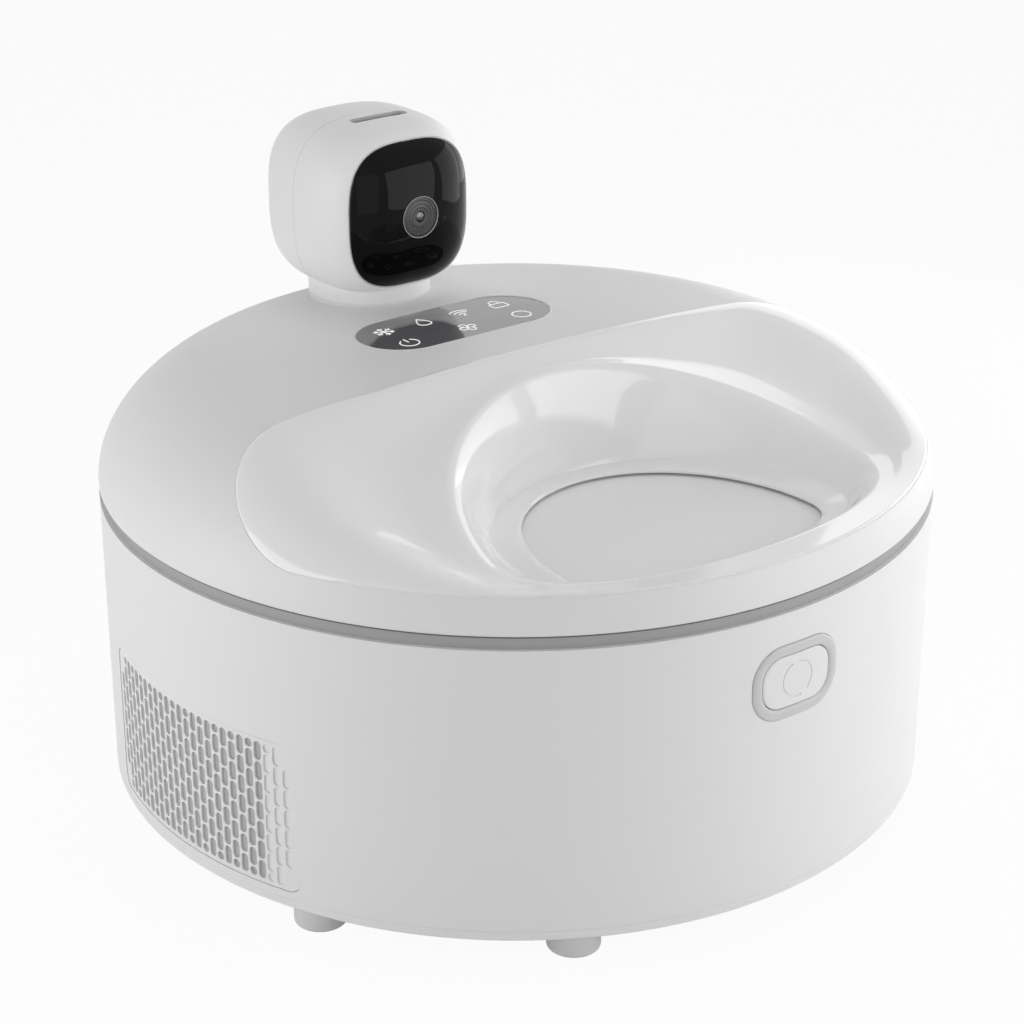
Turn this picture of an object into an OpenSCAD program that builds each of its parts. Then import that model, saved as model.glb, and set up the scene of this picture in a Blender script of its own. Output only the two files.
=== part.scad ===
// Wet food feeder: a cooled drum with a turning food tray under a hinged lid, and a camera head on the lid.
// Millimetres, +Z up, front of the feeder towards -Y, origin on the floor under the drum's axis.

/* [Drum] */
// Outer diameter of the drum
body_d = 320; // [310:1:340]
// Height of the drum from its bottom edge to its top edge
base_h = 113.1; // [108:0.1:125]
// Wall thickness of the drum and the lid
wall = 3; // [2.4:0.1:3.6]
// Thickness of the bottom cover
plate_h = 4.3; // [3.6:0.1:6]
// Height of the recessed seal band between drum and lid
seam_h = 5; // [4.4:0.1:7]
// Setback of the seal band from the drum's face
seam_setback = 1.6; // [1:0.1:2.4]

/* [Feet] */
// Height of a foot under the drum
foot_h = 10; // [6:0.5:14]
// Diameter of a foot
foot_d = 19.6; // [14:0.2:21]
// Distance of a foot's edge from the drum's face
foot_inset = 3.2; // [2.5:0.1:8]
// Angle from the front to the first foot of a pair
foot_angle = 29.5; // [24:0.5:36]
// Angle between the two feet of a pair
foot_spread = 36.5; // [30:0.5:42]

/* [Lid] */
// Width of the rounded shoulder of the lid
shoulder_w = 50.4; // [46:0.2:56]
// Height of the rounded shoulder of the lid
shoulder_h = 36; // [32:0.5:42]
// Rise of the shallow crown over the whole lid
crown_h = 8.5; // [6:0.5:11]

/* [Feeding panel] */
// Distance from the drum's face to the front arc of the panel
panel_edge = 3.1; // [3.1:0.1:5]
// Distance from the drum's axis to the straight rear edge of the panel
panel_chord = 3.2; // [1:0.1:8]
// Radius of the two rear corners of the panel
panel_corner_r = 43; // [30:1:50]
// Slope of the panel towards the front, in degrees
panel_slope = 11.5; // [10:0.1:12.5]
// Thickness of the panel
panel_t = 2.5; // [2:0.1:3]
// Distance from the drum's face to the middle of the feeding opening
opening_inset = 57.6; // [54:0.2:60]
// Depth of the opening from its middle to its front edge
opening_front = 25; // [20:0.5:28]
// Distance from the drum's axis to the rear edge of the opening
opening_apex = 36.8; // [32:0.2:42]
// How far the recess's brim stands outside the opening at each side
brim_side = 31.9; // [28:0.1:34]
// Distance from the drum's axis to the rear of the brim
brim_apex = 20; // [17:0.5:24]
// Distance from the drum's face to the front of the brim
brim_inset = 18; // [16:0.5:21]
// Height of the front of the brim above the lid's lower edge
brim_rise = 11.7; // [10:0.1:13]

/* [Control panel] */
// Width of the touch panel
control_w = 86; // [70:1:100]
// Depth of the touch panel
control_h = 38.6; // [30:0.2:44]
// Corner radius of the touch panel
control_r = 17.6; // [8:0.2:18]
// Distance of the touch panel's middle behind the drum's axis
control_y = 40; // [34:0.5:44]
// Thickness of the touch panel
control_t = 1.2; // [0.8:0.1:1.6]

/* [Front button] */
// Width of the button's bezel
bezel_w = 39.8; // [34:0.2:46]
// Height of the button's bezel
bezel_h = 28.8; // [24:0.2:32]
// Corner radius of the bezel
bezel_r = 12.6; // [8:0.1:13]
// Width of the bezel's visible ring
bezel_ring = 4.2; // [3:0.1:5]
// Distance of the button's middle below the drum's top edge
button_low = 26.5; // [25:0.5:36]
// Travel of the button
button_travel = 3; // [2:0.1:3.4]
// Diameter of the ring engraved in the button
button_mark_d = 14; // [10:0.5:17]

/* [Vent grille] */
// Angle of a grille's middle from the front of the drum
vent_angle = 86; // [80:1:94]
// Width of a grille
vent_w = 110; // [107:0.5:116]
// Height of a grille
vent_h = 58.9; // [57:0.1:62]
// Corner radius of a grille
vent_r = 5.1; // [3:0.1:5.5]
// Height of a grille's lower edge above the drum's bottom edge
vent_up = 6.9; // [5.5:0.1:9]
// Number of slot columns
vent_columns = 26; // [20:1:26]
// Number of full slots in the tallest columns
vent_rows = 7; // [5:2:7]
// Number of blind columns at the end nearest the front
vent_blind = 3; // [0:1:5]
// Angle between two columns
vent_pitch = 1.48; // [1.4:0.01:1.5]
// Width of a slot
slot_w = 3.3; // [2.4:0.1:3.4]
// Height of a slot
slot_h = 7.4; // [6:0.1:7.5]
// Vertical distance between two slots
slot_pitch = 8; // [7.8:0.05:8.2]

/* [Food tray] */
// Number of sectors of the tray, the front one closed
sectors = 5; // [5:1:6]
// Depth of a bowl below the tray's top
bowl_depth = 35; // [30:0.5:40]
// Thickness of a bowl's wall
bowl_t = 2; // [1.4:0.1:2.4]
// Diameter of the drive shaft
shaft_d = 8; // [6:0.1:9]

/* [Cooling] */
// Width of the square fan
fan_w = 60; // [50:0.5:60]
// Thickness of the fan
fan_t = 15; // [12:0.5:20]
// Number of blades of the fan
fan_blades = 7; // [5:1:9]
// Width of the square heat sink
sink_w = 70; // [60:1:76]
// Number of fins of the heat sink
sink_fins = 11; // [7:1:13]

/* [Camera head] */
// Width of the head
head_w = 72.8; // [66:0.2:78]
// Depth of the head
head_d = 75; // [70:0.2:80]
// Height of the head
head_h = 70; // [64:0.2:76]
// Wall thickness of the head's shells
head_t = 3.5; // [3:0.1:4]
// Distance of the pan axis behind the drum's axis
pan_y = 98.5; // [94:0.5:102]
// Diameter of the collar and the neck
neck_d = 49.6; // [44:0.2:54]
// Height of the collar above the crown line beside it
collar_up = 2; // [1.5:0.1:3.5]
// Diameter of the lens barrel
lens_d = 17; // [12:0.2:20]
// Length of the touch strip on the head
strip_w = 26.5; // [20:0.5:32]
// Width of the touch strip on the head
strip_h = 5; // [3.6:0.1:6]

/* [Hidden] */
// Gap between pieces that lie side by side
gap = 0.3;
// Gap of a running fit, in radius
run = 0.06;
// Gap of a fixed fit, in radius
fix = 0.03;
// Depth by which a cut runs past a face
over = 1;
// Depth by which joined shapes run into each other
join = 0.5;
// Least length of a flat stretch between two round ends
least_flat = 0.01;

// Heights and radii of the drum
body_r = body_d/2;
bottom_z = foot_h;
plate_z = bottom_z + plate_h;
rim_z = bottom_z + base_h;
lid_z = rim_z + seam_h;
inner_r = body_r - wall;
shelf_w = 7;
shelf_t = 3.1;
flange_t = 3;
seal_r = body_r - seam_setback;
seal_w = 11.4;
seal_lip = 2.4;
shelf_root = 1.5;
plate_edge = 1.2;
plate_line = 0.4;
foot_seat = 1.4;
foot_pairs = 3;
sole_r = 1.5;
round_steps = 6;

// Food tray and well
well_gap = 15;
well_t = 2.5;
well_r = inner_r - well_gap;
tray_gap = 3;
tray_r = well_r - well_t - tray_gap;
tray_low = 0.6;
tray_z = lid_z - tray_low;
tray_t = 3.5;
skirt_h = 8;
skirt_t = 3;
sector = 360/sectors;
bowl_points = 36;
bowl_web = 2.8;
bowl_lip = 2.5;
lip_t = 1.5;
// A bowl's wall draws in by this much from its lip to the round corner above its floor
bowl_draft = 4.5;
bowl_corner = 7.5;
bowl_bends = 3;
well_bend = 6;
well_under = 3;
well_floor_z = tray_z - bowl_depth - well_under;
well_base_z = well_floor_z - flange_t;
hub_r = 16;
hub_neck_r = 9.6;
hub_flange_t = 6;
shaft_low = 2;
shaft_r = shaft_d/2;
bush_t = 4;
bush_r = shaft_r + bush_t;
bush_flange_r = bush_r + bush_t;
bush_flange_t = 1.5;
motor_r = 19;
motor_h = 32;
motor_flange_w = 3;
motor_flange_t = 3;
shaft_in_motor = 12;

// Feeding opening, an egg whose rear half fits one sector of the tray
opening_c = body_r - opening_inset;
opening_b = opening_c - opening_apex;
opening_a = sector_fit(opening_c, opening_b, 0);
panel_lift = 0.5;
opening_z = lid_z + panel_lift;
// Powers of an egg's rear half, and of the opening's and the brim's front halves, 2 for an ellipse
egg_rear_n = 2;
opening_front_n = 2.5;
brim_front_n = 2.2;
// Brim of the recess, an egg that is level in front and rises to the rear by a power
brim_shift = 6.4;
brim_c = opening_c - brim_shift;
brim_level = 10;
brim_n = 1.6;
// Wall of the recess: powers of its roll at the brim and of its foot
roll_n = 2.1;
foot_n = 1.35;
wall_steps = [0, 0.3, 0.5, 0.66, 0.8, 0.91, 1];
// Ledge between the wall and the opening: share of the recess's width, its limits, slope and edge
ledge_share = 0.42;
ledge_least = 4;
ledge_most = 13;
ledge_slope = 7;
ledge_t = 1;

// Lid
shoulder_r = body_r - shoulder_w;
crown_z = lid_z + shoulder_h + crown_h;
panel_r = body_r - panel_edge;
panel_proud = 0.5;
panel_gap = 0.35;
panel_flange = 4;
panel_points = 96;
panel_steps = [1, 0.97, 0.9, 0.8, 0.65, 0.45, 0.25, 0.1];
panel_drop = 2;
// The panel's sides follow the dome, from this share of their width and this far back
domed_from = 0.15;
domed_front = 20;
domed_run = 110;
liner_t = 2;
liner_share = 0.25;
liner_z = lid_z + panel_lift;
control_low = 0.1;
touch_in = 4;

// Hinge at the rear of the lid
hinge_in = 9;
hinge_y = body_r - hinge_in;
hinge_z = lid_z + hinge_in;
hinge_half = 30;
hinge_block_r = 8.5;
hinge_pin_r = 2;
ear_t = 6;
ear_r = 5.5;
hinge_notch = 54;

// Front button and latch
button_z = rim_z - button_low;
bezel_depth = 7;
bezel_proud = 0.8;
// Depth from the drum's face past the bezel's rear edge, which falls back at its sides
bezel_reach = body_r - sqrt(pow(body_r - bezel_depth, 2) - pow(bezel_w/2, 2)) + over;
button_t = 5;
button_face = body_r + bezel_proud/2;
mark_w = 0.7;
mark_t = 0.6;
stem_r = 4;
guide_t = 2;
guide_y = -body_r + button_t + button_travel + 3*gap;
tongue_t = 1.5;
tongue_y = guide_y + guide_t + gap;
tongue_half = 12;
tongue_foot_z = button_z - bezel_h/2;
tongue_foot_t = 6;
tongue_foot_gap = 2;
tongue_room = 4;
keeper_lift = 0.6;
keeper_z = lid_z + keeper_lift;
keeper_t = 2.4;
keeper_in = 5;
nose_t = 2.6;
nose_tip = 0.8;
nose_reach = 5;

// Grilles
vent_t = 2.4;
vent_z = bottom_z + vent_up + vent_h/2;
vent_gap = 0.25;
// The drum's wall falls back by this much from a grille's middle to its sides
vent_depth = body_r - sqrt(pow(inner_r, 2) - pow(vent_w/2, 2)) + over;
blind_depth = 0.7;

// Screws of the bottom cover, as angles from the front on each side
screw_angles = [12, 48, 132, 168];
screw_head_r = 3;
screw_head_t = 2;
screw_r = 1.25;
screw_len = 18;
screw_hex_r = 1.2;
screw_hex_t = 1.1;
boss_r = 4;
boss_end = 4;
screw_at = inner_r - boss_r + join;

// Cooling train under the well
cold_t = 5;
cold_w = 64;
cell_w = 40;
cell_t = 4;
sink_base = 6;
fin_h = 34;
fin_t = 1.6;
fan_in = 21;
fan_x = -body_r + fan_in;
fan_sink_gap = 11;
sink_x = fan_x + fan_t + fan_sink_gap + sink_w/2;
fan_rim = 2;
fan_bore = fan_w - 2*fan_rim;
fan_hole_in = 4;
fan_hole_r = 1.8;
fan_boss_r = 9;
fan_hub_r = 12;
fan_axle_r = 2;
fan_strut_t = 3;
fan_strut_w = 3;
fan_tip = 1.2;
fan_low = 1.5;
blade_t = 1.4;
blade_pitch = 38;

// Boards and inlet
board_t = 1.6;
board_w = 84;
board_h = 88;
board_in = 36;
board_x = body_r - board_in - board_w/2;
standoff_h = 8;
standoff_r = 3.5;
standoff_in = 6;
// Main board's larger parts, each with its corner from the board's middle and its size
power_module = [[-2, 4], [26, 26, 14]];
relay = [[8, -34], [18, 12, 9]];
terminal = [[-36, 8], [10, 24, 8]];
capacitor_at = [-20, -24];
capacitor_r = 8;
capacitor_h = 22;
inlet_up = 24;
inlet_in = 1;
inlet_r = 5.5;
inlet_bore_r = 2.75;
inlet_len = 14;
inlet_floor = 3;
inlet_pin_r = 1;
inlet_nut_w = 3;
inlet_nut_t = 3;

// Camera head, a squircle body lofted along Y
head_a = head_w/2;
head_b = head_d/2;
head_c = head_h/2;
head_nx = 2.64;
head_nz = 3.14;
section_n = 3;
head_points = 40;
pole_turn = 88;
// Numbers of steps along the head, outside and inside
head_steps = 18;
rear_steps = [9, 7];
front_steps = [7, 6];
glass_steps = [7, 6];
collar_z = dome(pan_y) + collar_up;
neck_h = 2.4;
head_z = collar_z + gap + neck_h + head_c;
neck_r = neck_d/2;
neck_step = 0.4;
neck_top = head_h/4;
collar_depth = 6;
collar_base_z = collar_z - collar_depth - collar_up;
pivot_r = 9;
pivot_in = 6;
seam_y = -1.5;
glass_y = -28.3;
glass_t = 2;
head_gap = 0.2;
lens_in = 0.4;
barrel_front = -head_b + lens_in;
barrel_back = -16;
barrel_gap = 0.1;
barrel_wall = 1.5;
barrel_flange_w = 3;
barrel_flange_t = 4;
lens_t = 2;
lens_mid_t = 1.8;
lens_edge_t = 0.8;
strip_y = -9;
strip_t = 0.9;
strip_low = 1.7;
pan_motor_r = 14;
pan_motor_h = 20;

$fn = 64;

// Colours
white = [0.93, 0.93, 0.93];
gloss = [0.96, 0.96, 0.96];
grey = [0.62, 0.62, 0.63];
pale = [0.8, 0.8, 0.8];
dark = [0.12, 0.12, 0.13];
steel = [0.72, 0.73, 0.75];
board = [0.1, 0.35, 0.2];

// Half width of an egg that fits a sector of the tray with a web left beside it
function sector_fit(c, b, web) =
    sqrt(pow(c*sin(sector/2) - web, 2) - pow(b*sin(sector/2), 2))/cos(sector/2);

// Height of the lid's surface at a radius, or of the surface a depth d under it
function dome(r, d = 0) =
    let (x = max(0, r - shoulder_r)/(shoulder_w - d))
    lid_z + crown_h*(1 - pow(r/body_r, 2)) + (shoulder_h - d)*sqrt(max(0, 1 - x*x));

// Profile of the lid's surface from the axis to the rim
function dome_profile(d, flats = 6, bends = 14) = concat(
    [for (i = [0:flats]) let (r = shoulder_r*i/flats) [r, dome(r, d)]],
    [for (i = [1:bends]) let (r = shoulder_r + (shoulder_w - d)*sin(90*i/bends)) [r, dome(r, d)]]
);

// Point of an egg with half width a and rear and front depths, in direction u from its middle
function egg(u, a, back, front, mid_y, front_n, grow = 0) =
    let (
        n = sin(u) > 0 ? egg_rear_n : front_n,
        b = (sin(u) > 0 ? back : front) + grow,
        r = pow(pow(abs(cos(u))/(a + grow), n) + pow(abs(sin(u))/b, n), -1/n)
    )
    [r*cos(u), mid_y + r*sin(u)];

// Point of the feeding opening, and of the recess's brim
function opening_point(u, grow = 0) =
    egg(u, opening_a, opening_b, opening_front, -opening_c, opening_front_n, grow);
function brim_point(u, grow = 0) =
    egg(u, opening_a + brim_side, brim_c - brim_apex, body_r - brim_inset - brim_c,
        -brim_c, brim_front_n, grow);

// Width of the ledge round the opening, and the point and height where the wall meets it
function ledge_w(u) =
    min(ledge_most, max(ledge_least, norm(brim_point(u) - opening_point(u))*ledge_share));
function foot_point(u, grow = 0) =
    let (o = opening_point(u, grow), way = brim_point(u, grow) - o)
    o + way*ledge_w(u)/norm(way);
function foot_z(u) = opening_z + ledge_t + ledge_w(u)*tan(ledge_slope);

// Outline of the D-shaped panel, grown by o
corner_y = -panel_chord - panel_corner_r;
corner_x = sqrt(pow(panel_r - panel_corner_r, 2) - pow(corner_y, 2));
corner_turn = atan2(corner_y, corner_x);
function panel_outline(o, bends = 10, arcs = 44) = concat(
    [for (i = [0:bends]) let (t = 90 + (corner_turn - 90)*i/bends)
        [corner_x, corner_y] + (panel_corner_r + o)*[cos(t), sin(t)]],
    [for (i = [1:arcs - 1]) let (t = corner_turn - (180 + 2*corner_turn)*i/arcs)
        (panel_r + o)*[cos(t), sin(t)]],
    [for (i = [0:bends]) let (t = 180 - corner_turn + (corner_turn - 90)*i/bends)
        [-corner_x, corner_y] + (panel_corner_r + o)*[cos(t), sin(t)]]
);

// Distance along a ray to a circle, or a negative number where the ray misses it
function ray_circle(from, way, mid, r) =
    let (q = from - mid, k = q*way, room = k*k - q*q + r*r)
    room < 0 ? -1 : sqrt(room) - k;

// Point of the panel's outline, grown by o, in direction u from the opening's middle
function panel_point(u, o) =
    let (
        from = [0, -opening_c],
        way = [cos(u), sin(u)],
        side = cos(u) < 0 ? -1 : 1,
        mid = [side*corner_x, corner_y],
        bend = ray_circle(from, way, mid, panel_corner_r + o),
        hit = from + bend*way - mid,
        turn = atan2(hit[1], side*hit[0]),
        line = sin(u) > 0 ? (opening_c - panel_chord + o)/sin(u) : body_d,
        arc = ray_circle(from, way, [0, 0], panel_r + o)
    )
    from + (bend > 0 && turn > corner_turn && turn < 90 ? bend : min(line, arc))*way;

// Height of the sloping plane between the panel's rear edge and the brim
function slope_z(y) = crown_z - tan(panel_slope)*(-panel_chord - y);

// Height of the brim, level in front and rising to that plane
function brim_z(y) =
    let (
        start = -brim_c - brim_level,
        share = max(0, min(1, (y - start)/(-brim_apex - start))),
        low = lid_z + brim_rise
    )
    low + (slope_z(-brim_apex) - low)*pow(share, brim_n);

// Share from 0 to 1 with soft ends
function ease(t) = let (c = max(0, min(1, t))) c*c*(3 - 2*c);

// Height of the panel in direction u, a share s of the way from the brim to the panel's edge
function panel_z(u, s) =
    let (
        brim = brim_point(u),
        edge = panel_point(u, -panel_gap),
        p = brim + (edge - brim)*s,
        low = brim_z(brim[1]),
        flat = low + (dome(norm(edge)) + panel_proud - low)*s,
        domed = low + (dome(norm(p)) + panel_proud - low)*ease((s - domed_from)/(1 - domed_from))
    )
    flat + (domed - flat)*ease((p[1] + body_r - domed_front)/domed_run);

// Rings of the feeding panel: its surface, the recess's wall, the ledge's edge and the flange
turns = [for (i = [0:panel_points - 1]) 360*i/panel_points];
function surface_ring(s, o, grow, drop) = [
    for (u = turns)
        let (t = brim_point(u, grow), p = t + (panel_point(u, o) - t)*s)
        [p[0], p[1], panel_z(u, s) - drop]
];
function wall_ring(t, grow, drop) = [
    for (u = turns)
        let (
            brim = brim_point(u, grow),
            p = brim + (foot_point(u, grow) - brim)*t,
            low = foot_z(u),
            z = low + (brim_z(brim_point(u)[1]) - low)*pow(1 - pow(t, roll_n), foot_n)
        )
        [p[0], p[1], max(opening_z, z - drop)]
];
function ledge_ring(z) = [for (u = turns) let (p = opening_point(u)) [p[0], p[1], z]];
function under_ring(o, d) = [
    for (u = turns)
        let (
            p = panel_point(u, o),
            r = min(norm(p), inner_r - panel_gap - d),
            q = p*r/norm(p)
        )
        [q[0], q[1], dome(r, wall + d)]
];

// Skin through rings of equal length, anticlockwise on the way up an outer face,
// closed by flat ends or, when looped, onto itself
module skin(rings, looped = false) {
    n = len(rings[0]);
    m = len(rings);
    last = looped ? m - 1 : m - 2;
    corners = [for (ring = rings) each ring];
    sides = [
        for (j = [0:last], i = [0:n - 1], half = [0, 1])
            let (k = (i + 1)%n, near = j*n, far = ((j + 1)%m)*n)
            half == 0 ? [near + i, far + k, near + k] : [near + i, far + i, far + k]
    ];
    ends = looped ? [] : [
        [for (i = [0:n - 1]) i],
        [for (i = [n - 1:-1:0]) (m - 1)*n + i]
    ];
    polyhedron(corners, concat(sides, ends));
}

// Rectangle with round corners
module round_rect(w, h, r) {
    square([w - 2*r, h], center = true);
    square([w, h - 2*r], center = true);
    for (x = [-1, 1], y = [-1, 1]) translate([x*(w/2 - r), y*(h/2 - r)]) circle(r);
}

// Turns a piece drawn at the front of the drum to an angle round it
module round_drum(angle) {
    rotate([0, 0, angle]) children();
}

// Carries a flat outline to the front of the drum at a height, cutting from a depth out past the face
module front_prism(z, depth) {
    translate([0, -body_r + depth, z]) rotate([90, 0, 0])
        linear_extrude(depth + bezel_proud + over) children();
}

// Ring about the drum's axis
module ring(r_out, r_in, z, h) {
    translate([0, 0, z]) difference() {
        cylinder(r = r_out, h = h);
        translate([0, 0, -over]) cylinder(r = r_in, h = h + 2*over);
    }
}

// Body under the lid's surface, a depth d below it
module lid_solid(d = 0, drop = 0) {
    rotate_extrude() polygon(concat(
        dome_profile(d),
        [[body_r - d, lid_z - drop], [0, lid_z - drop]]
    ));
}

// Slot for the latch tongue, out to a reach from the axis, and slot for the hinge block
module tongue_slot(reach) {
    translate([-tongue_half - gap, -reach, tongue_foot_z])
        cube([2*(tongue_half + gap), reach - well_r - well_t, lid_z]);
}
module hinge_slot(half) {
    translate([-half, well_r + well_t, plate_z]) cube([2*half, body_r, lid_z]);
}

// Places the screws of the bottom cover
module at_screws() {
    for (a = screw_angles, side = [-1, 1]) round_drum(side*a) translate([0, -screw_at, 0]) children();
}

// Places the feet
module at_feet() {
    for (i = [0:foot_pairs - 1], a = [foot_angle, foot_angle + foot_spread])
        round_drum(-a - 360*i/foot_pairs) translate([0, -body_r + foot_inset + foot_d/2, 0]) children();
}

// Drum wall with its shelf, screw bosses and cut-outs
module base_housing() {
    color(white) difference() {
        union() {
            ring(body_r, inner_r, plate_z, rim_z - plate_z);
            ring(inner_r + join, inner_r - shelf_w, rim_z - flange_t - shelf_t, shelf_t);
            at_screws() translate([0, 0, plate_z]) cylinder(r = boss_r, h = screw_len + boss_end);
        }
        at_screws() translate([0, 0, plate_z - over]) cylinder(r = screw_r + fix, h = screw_len + over);
        for (side = [-1, 1]) round_drum(side*vent_angle) front_prism(vent_z, vent_depth)
            round_rect(vent_w, vent_h, vent_r);
        front_prism(button_z, bezel_reach) bezel_outline(0);
        tongue_slot(inner_r - shelf_root);
        translate([0, body_r + over, bottom_z + inlet_up]) rotate([90, 0, 0])
            cylinder(r = inlet_r + fix, h = wall + 3*over);
    }
}

// Bottom cover with seats for the feet, screw holes and board standoffs
module base_plate() {
    edge = plate_edge;
    color(white) difference() {
        union() {
            rotate_extrude() polygon([
                [0, bottom_z], [body_r - edge, bottom_z], [body_r, bottom_z + edge],
                [body_r, plate_z - plate_line], [body_r - plate_line, plate_z], [0, plate_z]
            ]);
            for (x = [-1, 1], y = [-1, 1])
                translate([board_x, 0, plate_z - join])
                    translate([x*(board_w/2 - standoff_in), y*(board_h/2 - standoff_in)])
                        cylinder(r = standoff_r, h = standoff_h + join);
        }
        at_feet() translate([0, 0, bottom_z - over]) cylinder(d = foot_d + 2*fix, h = over + foot_seat);
        at_screws() {
            translate([0, 0, bottom_z - over]) cylinder(r = screw_r + gap, h = plate_h + 2*over);
            translate([0, 0, bottom_z - over]) cylinder(r = screw_head_r + gap, h = screw_head_t + over);
        }
    }
}

// Rubber feet with rounded soles
module rubber_feet() {
    r = foot_d/2;
    top = bottom_z + foot_seat;
    color(pale) at_feet() rotate_extrude() polygon(concat(
        [[0, 0]],
        [for (i = [0:round_steps]) let (a = 90*i/round_steps) [r - sole_r*(1 - sin(a)), sole_r*(1 - cos(a))]],
        [[r, top], [0, top]]
    ));
}

// Screws of the bottom cover
module base_screws() {
    color(steel) at_screws() {
        translate([0, 0, bottom_z]) difference() {
            cylinder(r = screw_head_r, h = screw_head_t);
            translate([0, 0, -over]) cylinder(r = screw_hex_r, h = over + screw_hex_t, $fn = 6);
        }
        translate([0, 0, bottom_z + screw_head_t - join]) cylinder(r = screw_r, h = screw_len);
    }
}

// Soft band that the lid closes on
module rim_seal() {
    color(grey) difference() {
        ring(seal_r, seal_r - seal_w, rim_z, seam_h - gap);
        tongue_slot(seal_r - seal_lip);
        hinge_slot(hinge_notch);
    }
}

// Slotted panel in the drum's wall, with blind columns towards the front
module vent_grille(side) {
    middle = (vent_columns - 1)/2;
    color(white) round_drum(side*vent_angle) difference() {
        intersection() {
            ring(body_r - vent_gap, body_r - vent_gap - vent_t, vent_z - vent_h/2, vent_h);
            front_prism(vent_z, vent_depth)
                round_rect(vent_w - 2*vent_gap, vent_h - 2*vent_gap, vent_r - vent_gap);
        }
        for (i = [0:vent_columns - 1])
            round_drum((i - middle)*vent_pitch)
                vent_column(i%2 == 0, i == 0 || i == vent_columns - 1,
                    (side > 0 ? i : vent_columns - 1 - i) < vent_blind);
    }
}

// Upright slot with round ends
module slot(h) {
    flat = max(least_flat, h - slot_w);
    square([slot_w, flat], center = true);
    for (end = [-1, 1]) translate([0, end*flat/2]) circle(d = slot_w);
}

// One column of slots: even columns hold full slots, odd ones end in short slots
module vent_column(even, cornered, blind) {
    depth = vent_gap + (blind ? blind_depth : vent_t + over);
    tall = (vent_rows - 1)/2;
    full = cornered ? tall - 1 : (even ? tall : tall - 0.5);
    reach = tall*slot_pitch + slot_h/2;
    short_low = (tall + 0.5)*slot_pitch - slot_h/2;
    front_prism(vent_z, depth) {
        for (k = [-full:full]) translate([0, k*slot_pitch]) slot(slot_h);
        if (!even && !cornered)
            for (end = [-1, 1]) translate([0, end*(reach + short_low)/2]) slot(reach - short_low);
    }
}
module left_vent_grille() {
    vent_grille(-1);
}
module right_vent_grille() {
    vent_grille(1);
}

// Tub round the food tray, hung on the drum's shelf by its flange
module cooling_well() {
    in_r = well_r - well_t;
    bend = well_bend;
    color(pale) difference() {
        rotate_extrude() polygon([
            [bush_r + fix, well_base_z], [well_r - bend, well_base_z], [well_r, well_base_z + bend],
            [well_r, rim_z - flange_t], [inner_r - 2*gap, rim_z - flange_t], [inner_r - 2*gap, rim_z],
            [in_r, rim_z], [in_r, well_floor_z + bend], [in_r - bend, well_floor_z],
            [bush_r + fix, well_floor_z]
        ]);
        tongue_slot(body_r);
        hinge_slot(hinge_half + gap);
    }
}

// Flanged bush of the drive shaft in the well's floor
module shaft_bush() {
    color(steel) rotate_extrude() polygon([
        [shaft_r + run, well_base_z], [bush_r, well_base_z], [bush_r, well_floor_z],
        [bush_flange_r, well_floor_z], [bush_flange_r, well_floor_z + bush_flange_t],
        [shaft_r + run, well_floor_z + bush_flange_t]
    ]);
}

// Plate, cooling element and finned sink stacked under the well's floor
module cold_plate() {
    color(steel) translate([sink_x, 0, well_base_z - cold_t/2]) cube([cold_w, cold_w, cold_t], center = true);
}
module peltier_module() {
    color([0.9, 0.9, 0.88]) translate([sink_x, 0, well_base_z - cold_t - cell_t/2])
        cube([cell_w, cell_w, cell_t], center = true);
}
module heat_sink() {
    top = well_base_z - cold_t - cell_t;
    fin_pitch = (sink_w - fin_t)/(sink_fins - 1);
    color(steel) translate([sink_x - sink_w/2, -sink_w/2, top - sink_base]) {
        cube([sink_w, sink_w, sink_base]);
        for (i = [0:sink_fins - 1]) translate([0, i*fin_pitch, -fin_h]) cube([sink_w, fin_t, fin_h + join]);
    }
}

// Turns a fan piece drawn about Z to the fan's axis along X, standing on the bottom cover
module at_fan() {
    translate([fan_x, 0, plate_z + fan_w/2]) rotate([0, 90, 0]) children();
}

// Fan frame with its bore, corner holes, struts and bearing boss
module fan_frame() {
    hole_at = fan_w/2 - fan_hole_in;
    color(dark) at_fan() {
        difference() {
            translate([-fan_w/2, -fan_w/2, 0]) cube([fan_w, fan_w, fan_t]);
            translate([0, 0, -over]) cylinder(d = fan_bore, h = fan_t + 2*over);
            for (x = [-1, 1], y = [-1, 1]) translate([x*hole_at, y*hole_at, -over])
                cylinder(r = fan_hole_r, h = fan_t + 2*over);
        }
        translate([0, 0, fan_t - fan_strut_t]) difference() {
            union() {
                cylinder(r = fan_boss_r, h = fan_strut_t);
                for (a = [45:90:315]) rotate([0, 0, a]) translate([fan_boss_r - join, -fan_strut_w/2, 0])
                    cube([fan_bore/2 - fan_boss_r + 2*join, fan_strut_w, fan_strut_t]);
            }
            translate([0, 0, -over]) cylinder(r = fan_axle_r + run, h = fan_strut_t + 2*over);
        }
    }
}

// Fan rotor: hub, pitched blades and axle
module fan_rotor() {
    low = fan_low;
    high = fan_t - fan_strut_t - 2*gap;
    blade_r = fan_bore/2 - fan_tip;
    color(dark) at_fan() {
        translate([0, 0, low]) cylinder(r = fan_hub_r, h = high - low);
        translate([0, 0, low]) cylinder(r = fan_axle_r, h = fan_t - low - gap);
        intersection() {
            translate([0, 0, low]) cylinder(r = blade_r, h = high - low);
            for (i = [0:fan_blades - 1]) rotate([0, 0, 360*i/fan_blades])
                translate([fan_hub_r - over, 0, (low + high)/2]) rotate([blade_pitch, 0, 0])
                    translate([0, -fan_t/2, -blade_t/2]) cube([blade_r, fan_t, blade_t]);
        }
    }
}

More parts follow.
